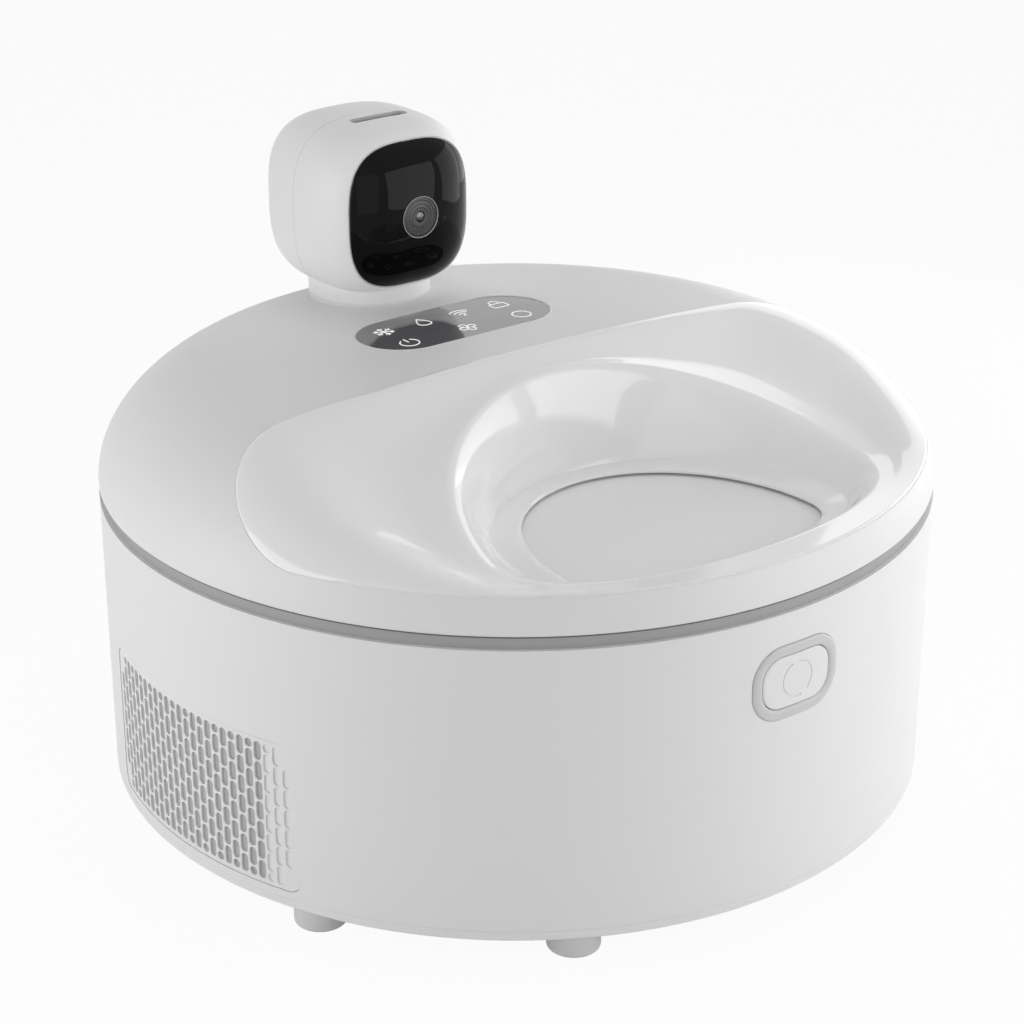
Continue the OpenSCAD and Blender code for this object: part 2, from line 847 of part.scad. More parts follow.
// Gear motor hung under the well's floor
module gear_motor() {
    top = well_base_z - motor_flange_t;
    color(steel) difference() {
        union() {
            translate([0, 0, top]) cylinder(r = motor_r + motor_flange_w, h = motor_flange_t);
            translate([0, 0, top - motor_h]) cylinder(r = motor_r, h = motor_h + join);
        }
        translate([0, 0, top - shaft_in_motor])
            cylinder(r = shaft_r + run, h = shaft_in_motor + motor_flange_t + over);
    }
}

// Main board with its larger components, on the bottom cover's standoffs
module main_board() {
    z = plate_z + standoff_h;
    color(board) translate([board_x - board_w/2, -board_h/2, z]) cube([board_w, board_h, board_t]);
    color(dark) translate([board_x, 0, z + board_t - join]) {
        translate(capacitor_at) cylinder(r = capacitor_r, h = capacitor_h);
        for (part = [power_module, relay, terminal]) translate(part[0]) cube(part[1]);
    }
}

// Power socket in the rear wall
module power_inlet() {
    color(dark) translate([0, body_r - inlet_in, bottom_z + inlet_up]) rotate([90, 0, 0]) {
        difference() {
            union() {
                cylinder(r = inlet_r, h = inlet_len);
                translate([0, 0, wall + 2*gap]) cylinder(r = inlet_r + inlet_nut_w, h = inlet_nut_t);
            }
            translate([0, 0, -over]) cylinder(r = inlet_bore_r, h = inlet_len - inlet_floor + over);
        }
        cylinder(r = inlet_pin_r, h = inlet_len - inlet_floor + join);
    }
}

// Outline of the bezel, and of the button within it
module bezel_outline(inset) {
    round_rect(bezel_w - 2*inset, bezel_h - 2*inset, bezel_r - inset);
}

// Grey ring round the button, slightly proud of the drum
module bezel_ring_trim() {
    color(grey) intersection() {
        ring(body_r + bezel_proud, body_r - bezel_depth, button_z - bezel_h, 2*bezel_h);
        front_prism(button_z, bezel_reach) difference() {
            bezel_outline(fix);
            bezel_outline(bezel_ring);
        }
    }
}

// Plate behind the bezel that guides the button's stem
module button_guide() {
    color(pale) translate([0, guide_y + guide_t, button_z]) rotate([90, 0, 0]) difference() {
        linear_extrude(guide_t) bezel_outline(0);
        translate([0, 0, -over]) cylinder(r = stem_r + run, h = guide_t + 2*over);
    }
}

// Push button: cap with an engraved ring, and stem
module front_button() {
    inset = bezel_ring + gap;
    mark_r = button_mark_d/2;
    color(white) {
        difference() {
            intersection() {
                ring(button_face, body_r - button_t, button_z - bezel_h, 2*bezel_h);
                front_prism(button_z, bezel_reach) bezel_outline(inset);
            }
            translate([0, -button_face + mark_t, button_z]) rotate([90, 0, 0]) difference() {
                cylinder(r = mark_r, h = mark_t + over);
                translate([0, 0, -over]) cylinder(r = mark_r - mark_w, h = mark_t + 3*over);
            }
        }
        translate([0, -body_r + button_t - join, button_z]) rotate([-90, 0, 0])
            cylinder(r = stem_r, h = tongue_y - gap + body_r - button_t + join);
    }
}

// Springy latch tongue: foot on the drum's wall, blade behind the button, hook over the lid's keeper
module latch_tongue() {
    hook_z = keeper_z + keeper_t + gap;
    foot_y = -sqrt(pow(inner_r, 2) - pow(tongue_half, 2)) + gap;
    foot_top = tongue_foot_z - tongue_foot_gap;
    foot_low = foot_top - tongue_foot_t;
    color(steel) rotate([90, 0, 90]) translate([0, 0, -tongue_half]) linear_extrude(2*tongue_half) polygon([
        [foot_y, foot_low], [tongue_y + tongue_t, foot_low],
        [tongue_y + tongue_t, hook_z + nose_t], [tongue_y, hook_z + nose_t],
        [tongue_y - nose_reach, hook_z + nose_tip], [tongue_y - nose_reach, hook_z],
        [tongue_y, hook_z], [tongue_y, foot_top], [foot_y, foot_top]
    ]);
}

// Block that carries the hinge pin at the rear of the drum
module hinge_block() {
    shelf_z = rim_z - flange_t;
    back_y = inner_r - 2*gap;
    front_y = well_r + well_t + gap;
    color(white) difference() {
        intersection() {
            union() {
                translate([-hinge_half, front_y, shelf_z])
                    cube([2*hinge_half, back_y - front_y, hinge_z - shelf_z]);
                translate([-hinge_half, front_y, rim_z])
                    cube([2*hinge_half, body_r - front_y, hinge_z - rim_z]);
                translate([-hinge_half, hinge_y, hinge_z]) rotate([0, 90, 0])
                    cylinder(r = hinge_block_r, h = 2*hinge_half);
            }
            translate([0, 0, shelf_z]) cylinder(r = body_r - 2*gap, h = body_r);
            hinge_reach();
        }
        hinge_rod(hinge_pin_r + fix);
        translate([0, 0, shelf_z - over]) difference() {
            cylinder(r = body_r, h = over + flange_t);
            translate([0, 0, -over]) cylinder(r = back_y, h = flange_t + 4*over);
        }
    }
}

// Space that the block keeps to, so that the lid's rim turns round it
module hinge_reach() {
    translate([-body_r, hinge_y - hinge_block_r, 0]) cube([body_d, 2*hinge_block_r, crown_z]);
}

// Rod along the hinge's axis, through the block and both ears of the lid
module hinge_rod(r) {
    half = hinge_half + gap + ear_t;
    translate([-half, hinge_y, hinge_z]) rotate([0, 90, 0]) cylinder(r = r, h = 2*half);
}
module hinge_pin() {
    color(steel) hinge_rod(hinge_pin_r);
}

// Drive of the food tray
module drive_shaft() {
    low = well_base_z - shaft_in_motor - motor_flange_t + gap;
    color(steel) translate([0, 0, low]) cylinder(r = shaft_r, h = tray_z - tray_t - shaft_low - low);
}
module drive_hub() {
    low = well_floor_z + bush_flange_t + gap;
    high = tray_z - tray_t;
    color(pale) difference() {
        union() {
            translate([0, 0, low]) cylinder(r = hub_neck_r, h = high - low);
            translate([0, 0, high - hub_flange_t]) cylinder(r = hub_r, h = hub_flange_t);
        }
        translate([0, 0, low - over]) cylinder(r = shaft_r + fix, h = high - shaft_low - low + over);
    }
}

// Outline of a bowl's lip, grown by g
function bowl_outline(g) = [for (i = [0:bowl_points - 1]) opening_point(360*i/bowl_points, g - bowl_web)];

// Turning tray: closed front sector, seats for the bowls and a stiffening skirt
module food_tray() {
    color(pale) difference() {
        union() {
            translate([0, 0, tray_z - tray_t]) cylinder(r = tray_r, h = tray_t);
            ring(tray_r, tray_r - skirt_t, tray_z - skirt_h, skirt_h - join);
        }
        for (k = [1:sectors - 1]) rotate([0, 0, k*sector]) {
            translate([0, 0, tray_z - lip_t]) linear_extrude(lip_t + over) polygon(bowl_outline(gap));
            translate([0, 0, tray_z - tray_t - over]) linear_extrude(tray_t + 2*over)
                polygon(bowl_outline(gap - bowl_lip));
        }
    }
}

// Food bowl hung in a seat of the tray by its lip
module food_bowl(k) {
    floor_z = tray_z - bowl_depth;
    lip_z = tray_z - lip_t;
    corner = [
        for (i = [0:bowl_bends])
            let (a = 90*i/bowl_bends)
            [floor_z + bowl_corner*(1 - cos(a)), -bowl_lip - bowl_draft - bowl_corner*(1 - sin(a))]
    ];
    levels = concat(
        corner,
        [[lip_z, -bowl_lip], [lip_z, 0], [tray_z, 0], [tray_z, -bowl_lip - bowl_t]],
        [for (i = [bowl_bends:-1:0]) corner[i] + [bowl_t, -bowl_t]]
    );
    color(steel) rotate([0, 0, k*sector]) skin([
        for (level = levels) [for (p = bowl_outline(level[1])) [p[0], p[1], level[0]]]
    ]);
}
module food_bowl_1() {
    food_bowl(1);
}
module food_bowl_2() {
    food_bowl(2);
}
module food_bowl_3() {
    food_bowl(3);
}
module food_bowl_4() {
    food_bowl(4);
}

// Lid moulding: domed shell with the panel's cut-out, the touch panel's pocket and the hinge ears
module top_cover() {
    ear_x = hinge_half + gap;
    color(white) difference() {
        union() {
            difference() {
                lid_solid();
                lid_solid(wall, over);
            }
            intersection() {
                lid_solid(wall/2);
                for (x = [-ear_x - ear_t, ear_x]) translate([x, hinge_y, hinge_z]) {
                    rotate([0, 90, 0]) cylinder(r = ear_r, h = ear_t);
                    translate([0, 0, -ear_r]) cube([ear_t, hinge_in, 2*ear_r]);
                }
            }
        }
        translate([0, 0, lid_z - over]) linear_extrude(crown_z) polygon(panel_outline(0));
        control_pocket();
        translate([0, pan_y, lid_z]) cylinder(r = neck_r + fix, h = crown_z);
        hinge_rod(hinge_pin_r + run);
        hinge_cut();
    }
}

// Cut in the lid's rear wall that clears the hinge block as the lid swings up
module hinge_cut() {
    half = hinge_half + gap;
    high = hinge_block_r + 2*gap;
    translate([-half, hinge_y - high, lid_z - over]) cube([2*half, body_r, hinge_z - lid_z + over]);
    translate([-half, hinge_y, hinge_z - over]) cube([2*half, body_r, high + over]);
    translate([-half, hinge_y, hinge_z]) rotate([0, 90, 0]) cylinder(r = high, h = 2*half);
}

// Pocket of the touch panel, with the panel's outline grown by a gap
module control_pocket() {
    difference() {
        translate([0, control_y, lid_z]) linear_extrude(crown_z)
            round_rect(control_w + gap, control_h + gap, control_r);
        lid_layer(control_t);
    }
}

// Body under the crown, a depth straight down below it
module lid_layer(depth) {
    translate([0, 0, -depth]) lid_solid();
}

// Glossy panel with the scooped feeding recess, flanged under the lid
module feeding_panel() {
    rings = concat(
        [for (s = panel_steps) surface_ring(s, -panel_gap, 0, 0)],
        [for (t = wall_steps) wall_ring(t, 0, 0)],
        [ledge_ring(opening_z + ledge_t), ledge_ring(opening_z)],
        [for (i = [len(wall_steps) - 1:-1:0]) wall_ring(wall_steps[i], panel_t, panel_drop)],
        [for (i = [len(panel_steps) - 2:-1:2]) surface_ring(panel_steps[i], -panel_gap, panel_t, panel_t)],
        [under_ring(panel_flange, gap + panel_t)],
        [under_ring(panel_flange, gap)],
        [under_ring(-panel_gap, gap)]
    );
    color(gloss) skin(rings, looped = true);
}

// Touch panel lying in its pocket, flush with the crown
module control_panel() {
    color(grey) intersection() {
        translate([0, control_y, lid_z]) linear_extrude(crown_z) round_rect(control_w, control_h, control_r);
        difference() {
            lid_layer(control_low);
            lid_layer(control_t);
        }
    }
}

// Circuit board under the touch panel
module touch_board() {
    z = dome(norm([control_w/2, control_y + control_h/2]), wall) - gap - board_t;
    color(board) translate([-control_w/2 + touch_in, control_y - control_h/2 + touch_in, z])
        cube([control_w - 2*touch_in, control_h - 2*touch_in, board_t]);
}

// Inner cover of the lid round the feeding opening
module lid_liner() {
    half = tongue_half + tongue_room;
    color(pale) difference() {
        translate([0, 0, liner_z]) cylinder(r = inner_r - 2*gap, h = liner_t);
        translate([0, 0, liner_z - over]) linear_extrude(liner_t + 2*over)
            polygon([for (u = turns)
                let (grow = panel_t + 3*gap, foot = foot_point(u, grow))
                foot + (brim_point(u, grow) - foot)*liner_share]);
        translate([-hinge_notch, hinge_y - hinge_notch/2, liner_z - over])
            cube([2*hinge_notch, body_r, liner_t + 2*over]);
        translate([-half, -body_r, liner_z - over])
            cube([2*half, body_r + tongue_y + tongue_t + tongue_room, liner_t + 2*over]);
    }
}

// Ledge on the lid's front wall that the latch tongue hooks over
module latch_keeper() {
    color(white) intersection() {
        translate([-tongue_half, -body_r, keeper_z]) cube([2*tongue_half, body_r, keeper_t]);
        ring(inner_r - 2*gap, inner_r - keeper_in, keeper_z, keeper_t);
    }
}

// Fixed collar of the camera, let into the lid
module camera_collar() {
    color(white) translate([0, pan_y, 0]) difference() {
        translate([0, 0, collar_base_z]) cylinder(r = neck_r, h = collar_depth + collar_up);
        translate([0, 0, lid_z]) cylinder(r = pivot_r + run, h = crown_z);
    }
}

// Pan motor under the collar
module pan_motor() {
    bore = pivot_in + 2*over;
    color(steel) translate([0, pan_y, collar_base_z]) difference() {
        translate([0, 0, -pan_motor_h]) cylinder(r = pan_motor_r, h = pan_motor_h);
        translate([0, 0, -bore]) cylinder(r = pivot_r + run, h = bore + over);
    }
}

// Section of the head at y, shrunk by an inset
function head_ring(y, inset = 0) =
    let (
        t = abs(y)/(head_b - inset),
        a = (head_a - inset)*pow(max(0, 1 - pow(t, head_nx)), 1/head_nx),
        c = (head_c - inset)*pow(max(0, 1 - pow(t, head_nz)), 1/head_nz),
        power = 2/section_n
    )
    [for (i = [0:head_points - 1])
        let (u = 360*i/head_points)
        [a*sign(cos(u))*pow(abs(cos(u)), power), y, c*sign(sin(u))*pow(abs(sin(u)), power)]];

// Stations of the head between two depths, closer together towards the pole
function head_stations(y0, y1, inset, count) =
    let (b = head_b - inset, a0 = asin(y0/b), a1 = asin(y1/b))
    [for (i = [0:count]) b*sin(a0 + (a1 - a0)*i/count)];
function pole(inset) = (head_b - inset)*sin(pole_turn);

// Carries a head piece to the head's middle
module at_head() {
    translate([0, pan_y, head_z]) children();
}

// Solid bounded by the head's outer form, grown all round
module head_solid(grow) {
    skin([for (y = head_stations(pole(-grow), -pole(-grow), -grow, head_steps)) head_ring(y, -grow)]);
}

// Neck between the collar and the head, with its pivot in the collar
module head_neck() {
    color(white) difference() {
        translate([0, pan_y, 0]) {
            translate([0, 0, collar_z + gap]) cylinder(r = neck_r - neck_step, h = neck_top);
            translate([0, 0, collar_base_z - pivot_in])
                cylinder(r = pivot_r, h = collar_z - collar_base_z + pivot_in + gap + join);
        }
        at_head() head_solid(gap);
    }
}

// Rear shell of the head
module head_rear_shell() {
    outer = head_stations(seam_y + head_gap, pole(0), 0, rear_steps[0]);
    inner = head_stations(seam_y + head_gap, pole(head_t), head_t, rear_steps[1]);
    color(white) at_head() skin(concat(
        [for (i = [len(outer) - 1:-1:0]) head_ring(outer[i])],
        [for (y = inner) head_ring(y, head_t)]
    ));
}

// Front shell of the head, open towards the glass, with the touch strip's pocket
module head_front_shell() {
    outer = head_stations(seam_y, glass_y, 0, front_steps[0]);
    inner = head_stations(seam_y, glass_y, head_t, front_steps[1]);
    color(white) at_head() difference() {
        skin(concat(
            [for (y = outer) head_ring(y)],
            [for (i = [len(inner) - 1:-1:0]) head_ring(inner[i], head_t)]
        ), looped = true);
        strip_prism(head_c - strip_low - strip_t, head_c, gap/2);
    }
}

// Pill of the touch strip between two heights
module strip_prism(low, high, grow) {
    translate([0, strip_y, low]) linear_extrude(high - low)
        round_rect(strip_w + 2*grow, strip_h + 2*grow, strip_h/2 + grow - least_flat);
}
module touch_strip() {
    color(grey) at_head() strip_prism(head_c - strip_low - strip_t, head_c - strip_low, 0);
}

// Dark glass that closes the front of the head, with the lens barrel's hole
module front_glass() {
    outer = head_stations(glass_y - head_gap, -pole(0), 0, glass_steps[0]);
    inner = head_stations(glass_y - head_gap, -pole(glass_t), glass_t, glass_steps[1]);
    color(dark) at_head() difference() {
        skin(concat(
            [for (i = [len(inner) - 1:-1:0]) head_ring(inner[i], glass_t)],
            [for (y = outer) head_ring(y)]
        ));
        rotate([90, 0, 0]) cylinder(d = lens_d + 2*barrel_gap, h = head_d);
    }
}

// Lens barrel through the glass, its lens, and the camera board behind
module lens_barrel() {
    color(dark) at_head() rotate([90, 0, 0]) difference() {
        union() {
            translate([0, 0, -barrel_back]) cylinder(d = lens_d, h = barrel_back - barrel_front);
            translate([0, 0, -barrel_back]) cylinder(d = lens_d + 2*barrel_flange_w, h = barrel_flange_t);
        }
        translate([0, 0, -barrel_front - lens_t]) cylinder(d = lens_d - 2*barrel_wall, h = lens_t + over);
    }
}
module lens_glass() {
    r = lens_d/2 - barrel_wall - fix;
    color([0.2, 0.25, 0.35]) at_head() rotate([90, 0, 0]) translate([0, 0, -barrel_front - lens_t])
        rotate_extrude() polygon(concat(
            [[0, 0], [r, 0]],
            [for (i = [0:round_steps]) let (s = 1 - i/round_steps)
                [r*s, lens_mid_t + (lens_edge_t - lens_mid_t)*s*s]]
        ));
}
module camera_board() {
    side = max([for (p = head_ring(barrel_back, head_t)) min(p[0], p[2])]) - gap;
    color(board) at_head() translate([-side, barrel_back, -side]) cube([2*side, board_t, 2*side]);
}

base_housing();
base_plate();
rubber_feet();
base_screws();
rim_seal();
left_vent_grille();
right_vent_grille();
cooling_well();
shaft_bush();
cold_plate();
peltier_module();
heat_sink();
fan_frame();
fan_rotor();
gear_motor();
main_board();
power_inlet();
bezel_ring_trim();
button_guide();
front_button();
latch_tongue();
hinge_block();
hinge_pin();
drive_shaft();
drive_hub();
food_tray();
food_bowl_1();
food_bowl_2();
food_bowl_3();
food_bowl_4();
top_cover();
feeding_panel();
control_panel();
touch_board();
lid_liner();
latch_keeper();
camera_collar();
pan_motor();
head_neck();
head_rear_shell();
head_front_shell();
front_glass();
lens_barrel();
lens_glass();
camera_board();
touch_strip();
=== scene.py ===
"""Looks of a wet food feeder with a camera head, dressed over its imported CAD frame."""

import logging
import math
from dataclasses import dataclass
from enum import Enum
from typing import Any, Sequence

import bmesh
import bpy
import numpy as np
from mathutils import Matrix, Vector

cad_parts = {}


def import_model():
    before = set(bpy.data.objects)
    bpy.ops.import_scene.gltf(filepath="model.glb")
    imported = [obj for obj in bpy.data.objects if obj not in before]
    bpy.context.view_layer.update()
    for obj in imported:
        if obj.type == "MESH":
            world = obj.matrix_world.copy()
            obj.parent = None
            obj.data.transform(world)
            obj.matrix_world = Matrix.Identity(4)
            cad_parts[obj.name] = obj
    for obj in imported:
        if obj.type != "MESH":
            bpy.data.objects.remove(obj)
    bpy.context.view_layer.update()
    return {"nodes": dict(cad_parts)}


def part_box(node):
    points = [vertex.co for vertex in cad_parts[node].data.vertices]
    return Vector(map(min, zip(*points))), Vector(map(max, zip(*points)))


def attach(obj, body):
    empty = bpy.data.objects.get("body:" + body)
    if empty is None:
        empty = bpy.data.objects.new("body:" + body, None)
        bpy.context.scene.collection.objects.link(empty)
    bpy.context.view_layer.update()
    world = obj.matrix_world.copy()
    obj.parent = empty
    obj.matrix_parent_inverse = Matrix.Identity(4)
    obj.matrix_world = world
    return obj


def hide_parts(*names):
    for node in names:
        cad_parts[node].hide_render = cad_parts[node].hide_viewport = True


LOG = logging.getLogger("feeder")
MM = 0.001
FULL_TURN = 2.0 * math.pi
QUARTER_TURN = math.pi / 2.0
SHARP_ANGLE = math.radians(32.0)
MERGE_DISTANCE = 1e-7
STROKE_SIDES = 8
LIP_SIDES = 4

Rgb = tuple[float, float, float]
Rgba = tuple[float, float, float, float]
Point = tuple[float, float, float]
Pair = tuple[float, float]
Cells = list[tuple[int, ...]]
Mesh = tuple[np.ndarray, Cells]
Lines = list[tuple[np.ndarray, bool]]
Piece = bpy.types.Object
Socket = bpy.types.NodeSocket
Tree = bpy.types.NodeTree

BLACK: Rgba = (0.0, 0.0, 0.0, 1.0)
WHITE: Rgba = (1.0, 1.0, 1.0, 1.0)


class Body(Enum):
    """The bodies that the scene's own pieces ride on."""

    BASE = "base"
    TURNTABLE = "turntable"
    BUTTON = "button"
    LID = "lid"
    HEAD = "camera_head"


class Grain(Enum):
    """How a finish's two tones are laid out."""

    MOULDED = "moulded"
    BOARD = "board"


class Carve(Enum):
    """What a cutter leaves of a piece."""

    AWAY = "DIFFERENCE"
    INSIDE = "INTERSECT"


def linear(colour: Rgb) -> Rgba:
    """Turns a display colour into the linear colour a shader takes.

    Args:
        colour: Red, green and blue from 0 to 255.

    Returns:
        Linear red, green and blue with full alpha.
    """
    parts = [c / 255.0 for c in colour]
    flat = [p / 12.92 if p <= 0.04045 else ((p + 0.055) / 1.055) ** 2.4 for p in parts]
    return (flat[0], flat[1], flat[2], 1.0)


def feed(tree: Tree, node: bpy.types.Node, inputs: dict[Any, Any]) -> bpy.types.Node:
    """Links sockets to a node's inputs, or sets their values.

    Args:
        tree: The node's tree.
        node: The node.
        inputs: Sockets or values, by the input's name or number.

    Returns:
        The node.
    """
    for key, value in inputs.items():
        if isinstance(value, Socket):
            tree.links.new(value, node.inputs[key])
        else:
            node.inputs[key].default_value = value
    return node


def add_node(tree: Tree, kind: str, inputs: dict[Any, Any], **settings: Any) -> bpy.types.Node:
    """Adds a node to a shader or geometry tree.

    Args:
        tree: The tree.
        kind: The node's type.
        inputs: Sockets or values, by the input's name or number.
        settings: The node's own options.

    Returns:
        The node.
    """
    made = tree.nodes.new(kind)
    for key, value in settings.items():
        setattr(made, key, value)
    return feed(tree, made, inputs)


def reckon(tree: Tree, operation: str, first: Any, second: Any = 0.0) -> Socket:
    """Adds a sum to a tree and gives its result."""
    return add_node(tree, "ShaderNodeMath", {0: first, 1: second}, operation=operation).outputs[0]


@dataclass(frozen=True)
class Finish:
    """A procedural finish on Object coordinates.

    The colour drifts slowly, the roughness varies within a range, and a fine grain lifts the surface.
    """

    name: str
    colour: Rgb
    rough: Pair = (0.45, 0.55)
    drift: float = 0.03
    drift_scale: float = 9.0
    grain: Grain = Grain.MOULDED
    grain_scale: float = 1400.0
    bump: float = 0.08
    bump_height: float = 0.00012
    stretch: Point = (1.0, 1.0, 1.0)
    metallic: float = 0.0
    coat: float = 0.0
    coat_rough: float = 0.04
    ior: float = 1.5
    specular: float = 0.5
    second: Rgb | None = None
    glow: float = 0.0
    tone_detail: float = 3.0
    rough_detail: float = 4.0
    rough_share: float = 0.1
    rough_span: Pair = (0.3, 0.7)
    grain_detail: float = 2.0
    track_width: float = 0.05
    track_tone: Rgba = (0.25, 0.25, 0.25, 1.0)

    def material(self) -> bpy.types.Material:
        """Gives the finish's material, made once.

        Returns:
            The Blender material.
        """
        made = bpy.data.materials.get(self.name)
        if made is not None:
            return made
        made = bpy.data.materials.new(self.name)
        made.use_nodes = True
        tree = made.node_tree
        where = add_node(tree, "ShaderNodeTexCoord", {}).outputs["Object"]
        mapped = {"Vector": where, "Scale": self.stretch}
        place = add_node(tree, "ShaderNodeMapping", mapped).outputs["Vector"]
        worn = self.noise(tree, place, self.grain_scale * self.rough_share, self.rough_detail)
        span = dict(enumerate((worn, *self.rough_span, *self.rough)))
        grain = self.noise(tree, place, self.grain_scale, self.grain_detail)
        lift = {"Strength": self.bump, "Distance": self.bump_height, "Height": grain}
        feed(tree, tree.nodes["Principled BSDF"], {
            "Metallic": self.metallic,
            "Coat Weight": self.coat,
            "Coat Roughness": self.coat_rough,
            "IOR": self.ior,
            "Specular IOR Level": self.specular,
            "Emission Color": linear(self.colour),
            "Emission Strength": self.glow,
            "Base Color": self.tones(tree, place),
            "Roughness": add_node(tree, "ShaderNodeMapRange", span).outputs[0],
            "Normal": add_node(tree, "ShaderNodeBump", lift).outputs["Normal"],
        })
        return made

    @staticmethod
    def noise(tree: Tree, place: Socket, scale: float, detail: float) -> Socket:
        """Adds a noise texture with so many cells per metre."""
        inputs = {"Vector": place, "Scale": scale, "Detail": detail}
        return add_node(tree, "ShaderNodeTexNoise", inputs).outputs[0]

    def tones(self, tree: Tree, place: Socket) -> Socket:
        """Mixes the finish's two tones.

        Args:
            tree: The material's node tree.
            place: The place on the piece.

        Returns:
            The colour's socket.
        """
        base = linear(self.colour)
        other = tuple(c * (1.0 - self.drift) for c in base[:3]) + (1.0,)
        if self.second:
            other = linear(self.second)
        if self.grain is Grain.BOARD:
            amount = add_node(tree, "ShaderNodeTexBrick", {
                "Vector": place, "Scale": self.drift_scale, "Mortar Size": self.track_width,
                "Color1": BLACK, "Color2": self.track_tone, "Mortar": WHITE,
            }).outputs["Color"]
        else:
            amount = self.noise(tree, place, self.drift_scale, self.tone_detail)
        return add_node(tree, "ShaderNodeMix", {0: amount, 6: base, 7: other}, data_type="RGBA").outputs[2]


MATTE_WHITE = Finish("matte_white_plastic", (239, 239, 239), (0.42, 0.52), 0.02, bump=0.10)
# A lighter copy of the matte white for the head's shells and neck: painted light, brightening the head
# beyond the rest of the white plastic.
HEAD_WHITE_PAINTED_LIGHT = Finish("white_plastic_painted_light", (249, 249, 249), (0.38, 0.48), 0.016, bump=0.08)
GLOSS_WHITE = Finish("gloss_white_plastic", (247, 247, 247), (0.08, 0.12), 0.012, bump=0.02, coat=0.5)
PALE_PLASTIC = Finish("pale_tray_plastic", (246, 246, 246), (0.40, 0.50), 0.03, bump=0.10)
# The seal's rubber is darkened to grey to paint the shade that falls under the lid's edge.
SEAL_RUBBER_PAINTED_SHADE = Finish("grey_seal_rubber_painted_shade", (172, 172, 173), (0.55, 0.68), 0.04, bump=0.12)
# A dark line painted along the seal's top: painted shadow under the lid's edge, not a part of its own.
PAINTED_SHADOW_LINE = Finish("seal_painted_shadow", (104, 104, 105), (0.60, 0.72), 0.05, bump=0.12)
FOOT_RUBBER = Finish("foot_rubber", (212, 212, 212), (0.60, 0.75), 0.05, bump=0.15)
GREY_TRIM = Finish("satin_grey_trim", (212, 212, 211), (0.28, 0.34), 0.012, bump=0.03)
GREY_GLOSS = Finish("grey_gloss_panel", (112, 113, 115), (0.06, 0.10), 0.06, bump=0.02, coat=0.5)
STAINLESS = Finish(
    "brushed_stainless", (196, 197, 199), (0.22, 0.34), 0.06, 30.0,
    grain_scale=900.0, bump=0.08, stretch=(1.0, 1.0, 22.0), metallic=1.0,
)
BRASS = Finish("turned_brass", (201, 168, 96), (0.25, 0.35), 0.08, 60.0, metallic=1.0)
ALUMINIUM = Finish(
    "milled_aluminium", (190, 192, 195), (0.30, 0.42), 0.05, 40.0,
    grain_scale=700.0, bump=0.10, stretch=(14.0, 1.0, 1.0), metallic=1.0,
)
CERAMIC = Finish("white_ceramic", (232, 230, 224), (0.35, 0.5), 0.05, bump=0.06)
BLACK_PLASTIC = Finish("black_moulded_plastic", (34, 35, 37), (0.38, 0.52), 0.15, bump=0.12)
BLACK_GLASS = Finish("black_gloss_glass", (5, 5, 6), (0.02, 0.05), 0.2, bump=0.0, specular=0.12)
LENS_COAT = Finish("coated_lens", (20, 22, 34), (0.02, 0.04), 0.3, 60.0, bump=0.0, coat=1.0, ior=1.7)
CIRCUIT_BOARD = Finish(
    "green_circuit_board", (28, 84, 56), (0.30, 0.42),
    drift_scale=260.0, grain=Grain.BOARD, second=(86, 132, 92),
)
# The icons glow so they stay white where the panel is in shade: a painted glow, not a lamp.
ICON_WHITE = Finish("icon_white_painted_glow", (240, 241, 242), (0.35, 0.45), 0.03, glow=0.45)
BRIGHT_RIM = Finish("bright_satin_rim", (226, 227, 228), (0.18, 0.26), 0.03, bump=0.02)
STRIP_GREY = Finish("grey_touch_strip", (108, 108, 109), (0.16, 0.24), 0.04, bump=0.02)
FILTER_GREY = Finish(
    "grey_filter_felt", (190, 190, 191), (0.80, 0.95), 0.06, 120.0, grain_scale=2600.0, bump=0.3,
)
LENS_GREY = Finish("satin_lens_ring", (56, 57, 59), (0.22, 0.30), 0.06, bump=0.02)
LENS_RIM = Finish("satin_lens_rim", (150, 151, 153), (0.20, 0.28), 0.04, bump=0.02, metallic=0.5)

NODE_FINISH: dict[Finish, tuple[str, ...]] = {
    MATTE_WHITE: (
        "base_housing", "base_plate", "left_vent_grille", "right_vent_grille", "top_cover",
        "hinge_block", "latch_keeper", "front_button", "camera_collar",
    ),
    HEAD_WHITE_PAINTED_LIGHT: ("head_neck", "head_rear_shell", "head_front_shell"),
    GLOSS_WHITE: ("feeding_panel",),
    PALE_PLASTIC: ("food_tray", "lid_liner", "cooling_well", "button_guide", "drive_hub"),
    SEAL_RUBBER_PAINTED_SHADE: ("rim_seal",),
    FOOT_RUBBER: ("rubber_feet",),
    GREY_TRIM: ("bezel_ring_trim",),
    GREY_GLOSS: ("control_panel",),
    STRIP_GREY: ("touch_strip",),
    STAINLESS: (
        "food_bowl_1", "food_bowl_2", "food_bowl_3", "food_bowl_4", "drive_shaft", "hinge_pin",
        "latch_tongue", "base_screws", "gear_motor", "pan_motor",
    ),
    BRASS: ("shaft_bush",),
    ALUMINIUM: ("cold_plate", "heat_sink"),
    CERAMIC: ("peltier_module",),
    BLACK_PLASTIC: ("fan_frame", "fan_rotor", "power_inlet", "lens_barrel"),
    BLACK_GLASS: ("front_glass",),
    LENS_COAT: ("lens_glass",),
    CIRCUIT_BOARD: ("main_board", "touch_board", "camera_board"),
}


def turns(steps: int) -> np.ndarray:
    """Gives even angles round a full turn."""
    return np.linspace(0.0, FULL_TURN, steps, endpoint=False)


def arc(radius: float, start: float, end: float, steps: int, mid: Pair = (0.0, 0.0)) -> np.ndarray:
    """Draws an arc between two angles in degrees."""
    turn = np.radians(np.linspace(start, end, steps))
    return np.c_[mid[0] + radius * np.cos(turn), mid[1] + radius * np.sin(turn)]


